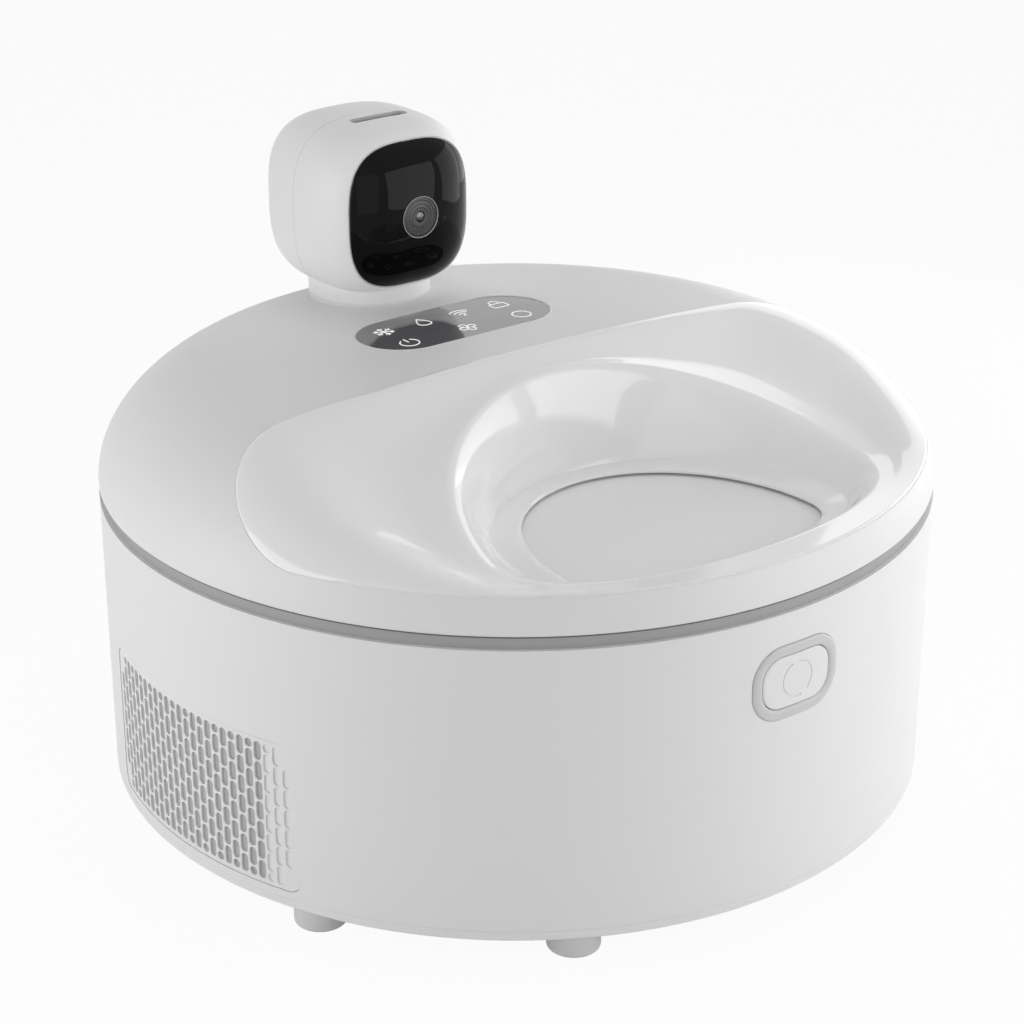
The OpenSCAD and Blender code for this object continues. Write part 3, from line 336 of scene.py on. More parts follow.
def circle(radius: float, steps: int, mid: Pair = (0.0, 0.0)) -> np.ndarray:
    """Draws a full circle."""
    return arc(radius, 0.0, 360.0, steps + 1, mid)[:-1]


def level(outline: np.ndarray, z: float) -> np.ndarray:
    """Lays a flat outline at a height."""
    return np.c_[outline, np.full(len(outline), z)]


def upright(outline: np.ndarray, y: float, mid_z: float) -> np.ndarray:
    """Stands a flat outline up at a depth, round a height."""
    return np.c_[outline[:, 0], np.full(len(outline), y), mid_z + outline[:, 1]]


def smoothstep(t: np.ndarray) -> np.ndarray:
    """Eases a share from 0 to 1."""
    t = np.clip(t, 0.0, 1.0)
    return t * t * (3.0 - 2.0 * t)


def pill_round(node: str, gap: float, steps: int) -> tuple[np.ndarray, float, float]:
    """Draws a pill outline round a CAD node that is longer along X.

    Args:
        node: The node's name.
        gap: How much larger than the node the outline is over all.
        steps: Points on each round end.

    Returns:
        The outline's points, and the node's bottom and top.
    """
    low, high = (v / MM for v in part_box(node))
    size = high - low
    middle = (low + high) / 2.0
    r = (size.y + gap) / 2.0
    run = (size.x + gap) / 2.0 - r
    bend = np.linspace(-QUARTER_TURN, QUARTER_TURN, steps)
    ends = [(run, bend), (-run, bend + math.pi)]
    outline = np.vstack([np.c_[x + r * np.cos(t), r * np.sin(t)] for x, t in ends])
    return outline + np.array((middle.x, middle.y)), low.z, high.z


def rounded(width: float, height: float, corner: float, steps: int, runs: int = 1) -> np.ndarray:
    """Draws a rounded rectangle round the origin.

    Args:
        width: Overall size along X.
        height: Overall size along Y.
        corner: Corner radius.
        steps: Points on each corner.
        runs: Pieces on each straight side.

    Returns:
        The outline's points, counter-clockwise.
    """
    x = width / 2.0 - corner
    y = height / 2.0 - corner
    mids = ((x, -y), (x, y), (-x, y), (-x, -y))
    bends = [arc(corner, 90.0 * (k - 1), 90.0 * k, steps, mid) for k, mid in enumerate(mids)]
    share = np.linspace(0.0, 1.0, runs + 1)[1:-1, None]
    parts = []
    for bend, after in zip(bends, bends[1:] + bends[:1]):
        parts += [bend, bend[-1] + (after[0] - bend[-1]) * share]
    return np.vstack(parts)


def skin(rings: Sequence[np.ndarray], closed: bool = False, caps: bool = False) -> Mesh:
    """Joins rings of points into a skin of quads.

    Args:
        rings: Rings with the same number of points each, in millimetres.
        closed: Whether the last ring joins the first.
        caps: Whether the first and the last ring are filled.

    Returns:
        Vertices in millimetres and faces.
    """
    count = len(rings[0])
    last = len(rings) - 1
    faces: Cells = []
    pairs = [(i, i + 1) for i in range(last)]
    if closed:
        pairs.append((last, 0))
    for low, high in pairs:
        for k in range(count):
            n = (k + 1) % count
            faces.append((low * count + k, low * count + n, high * count + n, high * count + k))
    if caps:
        faces.append(tuple(range(count))[::-1])
        faces.append(tuple(last * count + k for k in range(count)))
    return np.vstack(rings), faces


def prism(outline: np.ndarray, low: float, high: float) -> Mesh:
    """Raises a flat outline into a closed block between two heights."""
    return skin([level(outline, z) for z in (low, high)], caps=True)


def lathe(profile: Sequence[Pair], steps: int) -> Mesh:
    """Turns a closed profile of radii and heights about the Z axis."""
    flat = np.c_[np.cos(turns(steps)), np.sin(turns(steps))]
    return skin([level(r * flat, z) for r, z in profile], closed=True)


def linked(name: str, data: bpy.types.ID) -> Piece:
    """Makes an object and links it to the scene.

    Args:
        name: The object's name.
        data: Its mesh, light or camera.

    Returns:
        The object.
    """
    obj = bpy.data.objects.new(name, data)
    bpy.context.scene.collection.objects.link(obj)
    return obj


def drawn(name: str, points: np.ndarray, edges: Cells, faces: Cells) -> Piece:
    """Makes a mesh object from points in millimetres.

    Args:
        name: The object's name.
        points: The points.
        edges: Loose edges.
        faces: Faces.

    Returns:
        The object, linked to the scene.
    """
    data = bpy.data.meshes.new(name)
    data.from_pydata((points * MM).tolist(), edges, faces)
    return linked(name, data)


def smooth(obj: Piece) -> None:
    """Shades an object smooth, with its sharp edges kept."""
    obj.data.polygons.foreach_set("use_smooth", [True] * len(obj.data.polygons))
    obj.data.set_sharp_from_angle(angle=SHARP_ANGLE)


def solid(name: str, mesh: Mesh) -> Piece:
    """Makes a smooth object from a mesh in millimetres, with outward normals.

    Args:
        name: The object's name.
        mesh: Vertices in millimetres and faces.

    Returns:
        The object, linked to the scene.
    """
    obj = drawn(name, mesh[0], [], mesh[1])
    work = bmesh.new()
    work.from_mesh(obj.data)
    bmesh.ops.remove_doubles(work, verts=work.verts, dist=MERGE_DISTANCE)
    bmesh.ops.recalc_face_normals(work, faces=work.faces)
    work.to_mesh(obj.data)
    work.free()
    smooth(obj)
    return obj


def make_plain(obj: Piece) -> None:
    """Turns an object with its modifiers into a plain smooth mesh.

    Args:
        obj: The object.
    """
    graph = bpy.context.evaluated_depsgraph_get()
    mesh = bpy.data.meshes.new_from_object(obj.evaluated_get(graph))
    obj.modifiers.clear()
    obj.data = mesh
    smooth(obj)


def cut(obj: Piece, tools: Sequence[Piece], carve: Carve = Carve.AWAY) -> None:
    """Carves an object with tools and removes them.

    Args:
        obj: The object that keeps its name.
        tools: The cutters.
        carve: Whether the cutters' space is taken away or kept.
    """
    for tool in tools:
        step = obj.modifiers.new("cut", "BOOLEAN")
        step.operation = carve.value
        step.solver = "EXACT"
        step.object = tool
    make_plain(obj)
    for tool in tools:
        bpy.data.objects.remove(tool)


def settle(obj: Piece, finish: Finish, body: Body, nodes: Sequence[str] = ()) -> None:
    """Dresses a piece, puts it on its body and reports it.

    Args:
        obj: The piece.
        finish: Its finish.
        body: The body it rides on.
        nodes: The CAD nodes it stands for.
    """
    obj.data.materials.clear()
    obj.data.materials.append(finish.material())
    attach(obj, body.value)
    if nodes:
        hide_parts(*nodes)
    LOG.info("%s rides on %s in %s", obj.name, body.value, finish.name)


@dataclass
class Growth:
    """A Geometry Nodes tree with named sizes in millimetres, grown on a base of points or lines."""

    name: str
    sizes: dict[str, float]

    def __post_init__(self) -> None:
        """Makes the empty tree with its inputs and its output."""
        self.tree = bpy.data.node_groups.new(self.name, "GeometryNodeTree")
        face = self.tree.interface
        face.new_socket("Geometry", in_out="OUTPUT", socket_type="NodeSocketGeometry")
        face.new_socket("Base", in_out="INPUT", socket_type="NodeSocketGeometry")
        kinds = {label: "NodeSocketFloat" for label in self.sizes} | {"Finish": "NodeSocketMaterial"}
        self.keys = {
            label: face.new_socket(label, in_out="INPUT", socket_type=kind).identifier
            for label, kind in kinds.items()
        }
        self.inputs = self.tree.nodes.new("NodeGroupInput").outputs

    def node(self, kind: str, inputs: dict[Any, Any], **settings: Any) -> bpy.types.Node:
        """Adds a node to the tree."""
        return add_node(self.tree, kind, inputs, **settings)

    def shape(self, kind: str, inputs: dict[Any, Any]) -> Socket:
        """Adds a node and gives its first output."""
        return self.node(kind, inputs).outputs[0]

    def reckon(self, operation: str, first: Any, second: Any = 0.0) -> Socket:
        """Adds a sum and gives its result."""
        return reckon(self.tree, operation, first, second)

    def half(self, label: str) -> Socket:
        """Gives half of a named size."""
        return self.reckon("MULTIPLY", self.inputs[label], 0.5)

    def swept(self, path: Socket, sides: int, label: str, filled: bool) -> Socket:
        """Sweeps a round bead along a path.

        Args:
            path: The path's curve.
            sides: Sides of the bead.
            label: The named size of its width.
            filled: Whether open ends are filled.

        Returns:
            The bead's mesh.
        """
        bead = self.shape(
            "GeometryNodeCurvePrimitiveCircle", {"Resolution": sides, "Radius": self.half(label)}
        )
        ends = {"Curve": path, "Profile Curve": bead, "Fill Caps": filled}
        return self.shape("GeometryNodeCurveToMesh", ends)

    def stretched(self, shape: Socket, points: int) -> Socket:
        """Turns a round shape into a slot's, with straight sides up to the Height input.

        Args:
            shape: The round shape's socket.
            points: Points round it.

        Returns:
            The slot shape's socket.
        """
        lean = {"Geometry": shape, "Rotation": (0.0, 0.0, math.pi / points)}
        turned = self.shape("GeometryNodeTransform", lean)
        place = self.shape("GeometryNodeInputPosition", {})
        y = self.node("ShaderNodeSeparateXYZ", {0: place}).outputs["Y"]
        more = self.reckon("SUBTRACT", self.inputs["Height"], self.inputs["Width"])
        shift = self.reckon("MULTIPLY", self.reckon("SIGN", y), self.reckon("MULTIPLY", more, 0.5))
        offset = self.shape("ShaderNodeCombineXYZ", {"Y": shift})
        return self.shape("GeometryNodeSetPosition", {"Geometry": turned, "Offset": offset})

    def repeated(self, shape: Socket) -> Socket:
        """Puts a shape on every point of the base, turned by the point's lean.

        Args:
            shape: The shape's socket.

        Returns:
            The socket of the instances.
        """
        lean = self.node("GeometryNodeInputNamedAttribute", {"Name": "lean"}, data_type="FLOAT_VECTOR")
        inputs = {"Points": self.inputs["Base"], "Instance": shape, "Rotation": lean.outputs[0]}
        return self.shape("GeometryNodeInstanceOnPoints", inputs)

    def grow(self, base: Piece, shape: Socket, finish: Finish) -> Piece:
        """Closes the tree, runs it on a base and leaves a plain mesh.

        Args:
            base: The object of points or lines.
            shape: The socket of the finished shape.
            finish: The finish it gets.

        Returns:
            The base object, with the grown mesh in place of the points.
        """
        real = self.shape("GeometryNodeRealizeInstances", {"Geometry": shape})
        dress = {"Geometry": real, "Material": self.inputs["Finish"]}
        self.node("NodeGroupOutput", {"Geometry": self.shape("GeometryNodeSetMaterial", dress)})
        step = base.modifiers.new(self.name, "NODES")
        step.node_group = self.tree
        for label, size in self.sizes.items():
            step[self.keys[label]] = size * MM
        step[self.keys["Finish"]] = finish.material()
        make_plain(base)
        return base


def stroke(name: str, lines: Lines, width: float, finish: Finish, body: Body) -> None:
    """Draws round strokes along lines and settles them as one piece.

    Args:
        name: The piece's name.
        lines: Points in millimetres, and whether each line closes on itself.
        width: The stroke's width.
        finish: Its finish.
        body: The body it rides on.
    """
    edges: Cells = []
    start = 0
    for points, closed in lines:
        count = len(points)
        edges += [(start + i, start + (i + 1) % count) for i in range(count if closed else count - 1)]
        start += count
    base = drawn(name, np.vstack([points for points, _ in lines]), edges, [])
    growth = Growth(name + "_tree", {"Width": width})
    path = growth.shape("GeometryNodeMeshToCurve", {"Mesh": growth.inputs["Base"]})
    shape = growth.swept(path, STROKE_SIDES, "Width", True)
    settle(growth.grow(base, shape, finish), finish, body)


@dataclass(frozen=True)
class Egg:
    """An egg outline, an ellipse behind its widest place and squarer in front."""

    half: float
    back: float
    front: float
    y: float
    power: float

    def ring(self, turn: np.ndarray, grow: float = 0.0) -> np.ndarray:
        """Draws the outline.

        Args:
            turn: Directions from the middle of the widest place.
            grow: How far it is grown outwards.

        Returns:
            The outline's points.
        """
        c, s = np.cos(turn), np.sin(turn)
        n = np.where(s > 0.0, 2.0, self.power)
        b = np.where(s > 0.0, self.back + grow, self.front + grow)
        reach = ((np.abs(c) / (self.half + grow)) ** n + (np.abs(s) / b) ** n) ** (-1.0 / n)
        return np.c_[reach * c, self.y + reach * s]


@dataclass
class Lid:
    """The domed lid with its feeding panel, hinge ears and openings."""

    radius: float = 160.0
    lid_z: float = 128.1
    crown: float = 8.5
    dome_h: float = 36.0
    shoulder_r: float = 109.6
    wall: float = 3.0
    rim_soft: float = 0.6
    chord_y: float = -3.2
    panel_r: float = 156.9
    corner_r: float = 43.0
    panel_gap: float = 0.35
    panel_t: float = 2.5
    recess_t: float = 2.0
    proud: float = 0.5
    skirt: float = 3.0
    edge_soft: float = 0.45
    edge_bends: Pair = (0.13, 0.3)
    edge_run: float = 0.6
    opening: Egg = Egg(57.13, 65.6, 25.0, -102.4, 2.5)
    open_z: float = 128.6
    scoop: Egg = Egg(89.03, 76.0, 46.0, -96.0, 2.2)
    brim_low: float = 139.8
    brim_high: float = 169.18
    brim_level: float = 10.0
    brim_bend: float = 1.6
    roll: float = 2.1
    foot: float = 1.35
    ledge_share: float = 0.42
    ledge_least: float = 4.0
    ledge_most: float = 13.0
    ledge_slope: float = 7.0
    ledge_t: float = 1.0
    lip_soft: float = 0.3
    domed_from: float = 0.15
    domed_front: float = -140.0
    domed_run: float = 110.0
    hinge_y: float = 151.0
    hinge_z: float = 137.1
    hinge_half: float = 30.3
    hinge_room: float = 9.1
    ear_t: float = 6.0
    ear_r: float = 5.5
    neck_y: float = 98.5
    neck_r: float = 24.83
    control_gap: float = 0.3
    strip_w: float = 0.5
    strip_sink: float = 0.45
    cut_over: float = 20.0
    cut_under: float = 10.0
    cut_far: float = 200.0
    steps: int = 288
    front_steps: int = 220
    corner_steps: int = 60
    turned_steps: int = 240

    def __post_init__(self) -> None:
        """Sets the directions round the feeding opening."""
        self.turns = turns(self.steps)

    def dome(self, r: np.ndarray, inset: float = 0.0) -> np.ndarray:
        """Gives the height of the dome at a radius.

        Args:
            r: Radii.
            inset: How far under the outer skin.

        Returns:
            The heights.
        """
        share = np.clip((r - self.shoulder_r) / (self.radius - self.shoulder_r - inset), 0.0, 1.0)
        crown = self.crown * (1.0 - (r / self.radius) ** 2)
        return self.lid_z + crown + (self.dome_h - inset) * np.sqrt(1.0 - share**2)

    def dome_over(self, points: np.ndarray) -> np.ndarray:
        """Gives the dome's height over flat points."""
        return self.dome(np.hypot(points[:, 0], points[:, 1]))

    def outline(self, grow: float = 0.0) -> np.ndarray:
        """Draws the feeding panel's D outline.

        Args:
            grow: How far outside the cover's cut-out.

        Returns:
            The outline's points.
        """
        y = self.chord_y - self.corner_r
        x = math.sqrt((self.panel_r - self.corner_r) ** 2 - y * y)
        lean = math.atan2(y, x)
        front = np.linspace(-math.pi - lean, lean, self.front_steps)
        right = np.linspace(lean, QUARTER_TURN, self.corner_steps)[1:]
        left = np.linspace(QUARTER_TURN, math.pi - lean, self.corner_steps)[:-1]
        corner = self.corner_r + grow
        bends = ((0.0, 0.0, self.panel_r + grow, front), (x, y, corner, right), (-x, y, corner, left))
        return np.vstack([np.c_[u + r * np.cos(t), v + r * np.sin(t)] for u, v, r, t in bends])

    def panel_edge(self, fine: int = 12) -> np.ndarray:
        """Samples the panel's outline in the directions round the feeding opening.

        Args:
            fine: Samples on each piece of the outline.

        Returns:
            Points on the outline, one for each direction.
        """
        loop = self.outline(-self.panel_gap)
        share = np.linspace(0.0, 1.0, fine)[:, None]
        dense = np.vstack([a + (b - a) * share for a, b in zip(loop, np.roll(loop, -1, axis=0))])
        dense[:, 1] -= self.opening.y
        angle = np.arctan2(dense[:, 1], dense[:, 0])
        order = np.argsort(angle)
        reach = np.hypot(dense[:, 0], dense[:, 1])[order]
        radius = np.interp(self.turns, angle[order], reach, period=FULL_TURN)
        return np.c_[radius * np.cos(self.turns), self.opening.y + radius * np.sin(self.turns)]

    def brim(self, grow: float = 0.0) -> np.ndarray:
        """Draws the recess's brim, grown outwards."""
        return self.scoop.ring(self.turns, grow)

    def hole(self, grow: float = 0.0) -> np.ndarray:
        """Draws the feeding opening, grown outwards."""
        return self.opening.ring(self.turns, grow)

    def brim_z(self, y: np.ndarray) -> np.ndarray:
        """Gives the height of the brim, level in front and rising to the rear.

        Args:
            y: Places along Y.

        Returns:
            The heights.
        """
        start = self.scoop.y - self.brim_level
        share = np.clip((y - start) / (self.scoop.y + self.scoop.back - start), 0.0, 1.0)
        return self.brim_low + (self.brim_high - self.brim_low) * share**self.brim_bend

    def surface(self, s: Any, grow: float = 0.0, drop: float = 0.0) -> np.ndarray:
        """Gives a ring of the panel between the brim and its edge.

        Args:
            s: Share of the way from the brim to the edge, one for all directions or one for each.
            grow: How far the brim's end is grown outwards.
            drop: How far the ring lies under the surface.

        Returns:
            The ring's points.
        """
        edge = self.panel_edge()
        brim = self.brim()
        s = np.broadcast_to(np.asarray(s, float), (self.steps,))
        p = brim + (edge - brim) * s[:, None]
        low = self.brim_z(brim[:, 1])
        flat = low + (self.dome_over(edge) + self.proud - low) * s
        weight = smoothstep((s - self.domed_from) / (1.0 - self.domed_from))
        domed = low + (self.dome_over(p) + self.proud - low) * weight
        z = flat + (domed - flat) * smoothstep((p[:, 1] - self.domed_front) / self.domed_run)
        wide = self.brim(grow)
        return np.c_[wide + (edge - wide) * s[:, None], z - drop]

    def ledge(self) -> np.ndarray:
        """Gives the ledge's width in each direction."""
        reach = np.linalg.norm(self.brim() - self.hole(), axis=1)
        return np.clip(reach * self.ledge_share, self.ledge_least, self.ledge_most)

    def recess(self, t: float, grow: float = 0.0, drop: float = 0.0) -> np.ndarray:
        """Gives a ring of the recess's wall.

        Args:
            t: Share of the way from the brim to the wall's foot.
            grow: How far the ring is grown outwards.
            drop: How far it lies under the surface.

        Returns:
            The ring's points.
        """
        ledge = self.ledge()
        brim, hole = self.brim(grow), self.hole(grow)
        way = brim - hole
        foot = hole + way * (ledge / np.linalg.norm(way, axis=1))[:, None]
        low = self.open_z + self.ledge_t + ledge * math.tan(math.radians(self.ledge_slope))
        high = self.brim_z(self.brim()[:, 1])
        z = low + (high - low) * (1.0 - t**self.roll) ** self.foot
        return np.c_[brim + (foot - brim) * t, np.maximum(self.open_z, z - drop)]

    def turned(self, inset: float, bends: int = 40, flats: int = 14) -> list[Pair]:
        """Gives the dome's profile from the rim to the axis.

        Args:
            inset: How far under the outer skin.
            bends: Points on the shoulder.
            flats: Points on the crown.

        Returns:
            Radius and height pairs.
        """
        bend = np.linspace(0.0, QUARTER_TURN, bends)
        reach = self.radius - inset - self.shoulder_r
        r = np.r_[self.shoulder_r + reach * np.cos(bend), np.linspace(self.shoulder_r, 0.0, flats)[1:]]
        pairs = [(float(v), float(self.dome(np.array(v), inset))) for v in r]
        pairs[0] = (self.radius - inset, self.lid_z)
        return pairs

    @staticmethod
    def across(name: str, profile: np.ndarray, low: float, high: float) -> Piece:
        """Draws a profile in Y and Z out along X."""
        rings = [np.c_[np.full(len(profile), x), profile] for x in (low, high)]
        return solid(name, skin(rings, caps=True))

    def build(self) -> None:
        """Builds the lid's pieces."""
        self.build_cover()
        self.build_panel()
        self.build_ears()
        self.build_parting()

    def build_cover(self) -> None:
        """Makes the matte domed cover with its openings."""
        soft = self.rim_soft
        rim = [(self.radius - soft, self.lid_z), (self.radius, self.lid_z + soft)]
        profile = rim + self.turned(0.0)[1:] + self.turned(self.wall, flats=6)[::-1]
        cover = solid("lid_cover_skin", lathe(profile, self.turned_steps))
        top = self.lid_z + self.crown + self.dome_h + self.cut_over
        below = self.lid_z - self.cut_under
        pocket, seat, _ = pill_round("control_panel", self.control_gap, 40)
        neck = circle(self.neck_r, 96, (0.0, self.neck_y))
        bend = arc(self.hinge_room, 180.0, 90.0, 20, (self.hinge_y, self.hinge_z))
        rear = [(self.cut_far, z) for z in (self.hinge_z + self.hinge_room, below)]
        room = np.vstack([(bend[0, 0], below), bend, *rear])
        cut(cover, [
            solid("hole_panel", prism(self.outline(), below, top)),
            solid("hole_controls", prism(pocket, seat - self.control_gap, top)),
            solid("hole_neck", prism(neck, self.lid_z, top)),
            self.across("hole_hinge", room, -self.hinge_half, self.hinge_half),
        ])
        settle(cover, MATTE_WHITE, Body.LID, ("top_cover",))

    def build_panel(self) -> None:
        """Makes the gloss feeding panel with its scooped recess."""
        width = np.linalg.norm(self.panel_edge() - self.brim(), axis=1)
        rings = [self.surface(1.0, drop=drop) for drop in (self.skirt, self.edge_soft)]
        rings += [self.surface(1.0 - d / width, drop=self.edge_soft - d) for d in self.edge_bends]
        rings += [self.surface(1.0 - self.edge_run / width)]
        rings += [self.surface(s) for s in np.linspace(0.95, 0.0, 24)]
        rings += [self.recess(t) for t in np.linspace(0.0, 1.0, 30)[1:]]
        foot, hole = rings[-1], self.hole()
        lip = level(hole, self.open_z + self.ledge_t)
        rings += [foot + (lip - foot) * u for u in (0.06, 0.35, 0.7, 0.95)]
        rings += [lip - np.array((0.0, 0.0, self.lip_soft)), level(hole, self.open_z)]
        rings += [self.recess(t, self.panel_t, self.recess_t) for t in np.linspace(1.0, 0.0, 12)]
        rings += [self.surface(s, self.panel_t, self.panel_t) for s in (0.2, 0.4, 0.6, 0.8, 0.9)]
        obj = solid("feeding_panel_skin", skin(rings, closed=True))
        settle(obj, GLOSS_WHITE, Body.LID, ("feeding_panel",))

    def build_ears(self) -> None:
        """Makes the two ears that carry the lid on its hinge pin."""
        nose = arc(self.ear_r, 90.0, 270.0, 28, (self.hinge_y, self.hinge_z))
        back = [(self.radius, self.hinge_z + rise) for rise in (-self.ear_r, self.ear_r)]
        profile = np.vstack([nose, *back])
        inside = self.turned(self.wall / 2.0) + [(0.0, self.lid_z)]
        for name, side in (("left_hinge_ear", -1.0), ("right_hinge_ear", 1.0)):
            ends = sorted((side * self.hinge_half, side * (self.hinge_half + self.ear_t)))
            ear = self.across(name, profile, ends[0], ends[1])
            cut(ear, [solid("room_ear", lathe(inside, 160))], Carve.INSIDE)
            settle(ear, MATTE_WHITE, Body.LID)

    def build_parting(self) -> None:
        """Lays the pale strip in the gap round the feeding panel."""
        line = self.outline(-self.panel_gap / 2.0)
        path = np.c_[line, self.dome_over(line) - self.strip_sink * self.strip_w]
        stroke("panel_parting_strip", [(path, True)], self.strip_w, MATTE_WHITE, Body.LID)


@dataclass
class ControlPanel:
    """The touch panel's bright rim and printed signs, laid on the lid's crown."""

    lid: Lid
    low: float = 0.1
    line: float = 0.62
    line_sink: float = 0.2
    rim: float = 0.7
    rim_sink: float = 0.05
    rim_gap: float = 0.1
    round_r: float = 3.8
    flake_r: float = 4.2
    flake_fork: float = 2.4
    flake_tip: float = 1.5
    bow_r: float = 2.1
    blade_r: float = 1.3
    blade_more: float = 2.7

    def build(self) -> None:
        """Builds the rim and the signs."""
        loop, _, _ = pill_round("control_panel", self.rim_gap, 40)
        edge = [(self.laid(loop, self.rim_sink * self.rim), True)]
        stroke("control_panel_rim", edge, self.rim, BRIGHT_RIM, Body.LID)
        signs = {
            "cold_sign": (self.snow(), -28.5, 47.2),
            "water_sign": (self.drop(), -10.2, 47.2),
            "signal_sign": (self.waves(), 8.0, 46.6),
            "lock_sign": (self.lock(), 26.3, 47.4),
            "power_sign": (self.power(), -28.2, 30.2),
            "fan_sign": (self.fan(), -0.5, 30.4),
            "light_sign": ([(circle(self.round_r, 40), True)], 26.2, 30.8),
        }
        sink = self.line_sink * self.line
        for name, (lines, x, y) in signs.items():
            placed = [(self.laid(points + np.array((x, y)), sink), closed) for points, closed in lines]
            stroke(name, placed, self.line, ICON_WHITE, Body.LID)

    def laid(self, points: np.ndarray, sink: float) -> np.ndarray:
        """Lays flat points on the panel, sunk under its glass."""
        return np.c_[points, self.lid.dome_over(points) - self.low - sink]

    def snow(self) -> Lines:
        """Draws a six-armed flake.

        Returns:
            The flake's lines.
        """
        lines = []
        for k in range(6):
            turn = math.radians(30.0 + 60.0 * k)
            ways = (np.array((math.cos(turn + b), math.sin(turn + b))) for b in (0.0, 0.8, -0.8))
            arm, left, right = ways
            fork = arm * self.flake_fork
            barbs = [fork + left * self.flake_tip, fork, fork + right * self.flake_tip]
            lines += [(np.array([arm * 0.3, arm * self.flake_r]), False), (np.array(barbs), False)]
        return lines

    @staticmethod
    def drop() -> Lines:
        """Draws a drop with its point to the rear."""
        t = turns(48)
        return [(np.c_[3.9 * np.sin(t) * np.sin(t / 2.0) ** 1.4, 4.1 * np.cos(t)], True)]

    @staticmethod
    def waves() -> Lines:
        """Draws three arcs over a dot."""
        arcs = [(arc(r, 48.0, 132.0, 16, (0.0, -3.2)), False) for r in (2.4, 4.5, 6.6)]
        return arcs + [(circle(0.35, 12, (0.0, -3.0)), True)]

    def lock(self) -> Lines:
        """Draws a padlock.

        Returns:
            The lock's lines.
        """
        r = self.bow_r
        legs = np.vstack([(r, 0.6), arc(r, 0.0, 180.0, 16, (0.0, 1.9)), (-r, 0.6)])
        return [(rounded(7.2, 4.8, 1.0, 6) + np.array((0.0, -1.8)), True), (legs, False)]

    def power(self) -> Lines:
        """Draws a broken ring with a bar."""
        return [(arc(self.round_r, 122.0, 418.0, 36), False), (np.array(((0.0, 0.7), (0.0, 4.4))), False)]

    def fan(self) -> Lines:
        """Draws four blades round a hub.

        Returns:
            The fan's lines.
        """
        t = turns(96)
        reach = self.blade_r + self.blade_more * np.abs(np.cos(2.0 * t)) ** 0.8
        turn = t + 0.3
        return [(np.c_[reach * np.cos(turn), reach * np.sin(turn)], True), (circle(0.6, 12), True)]


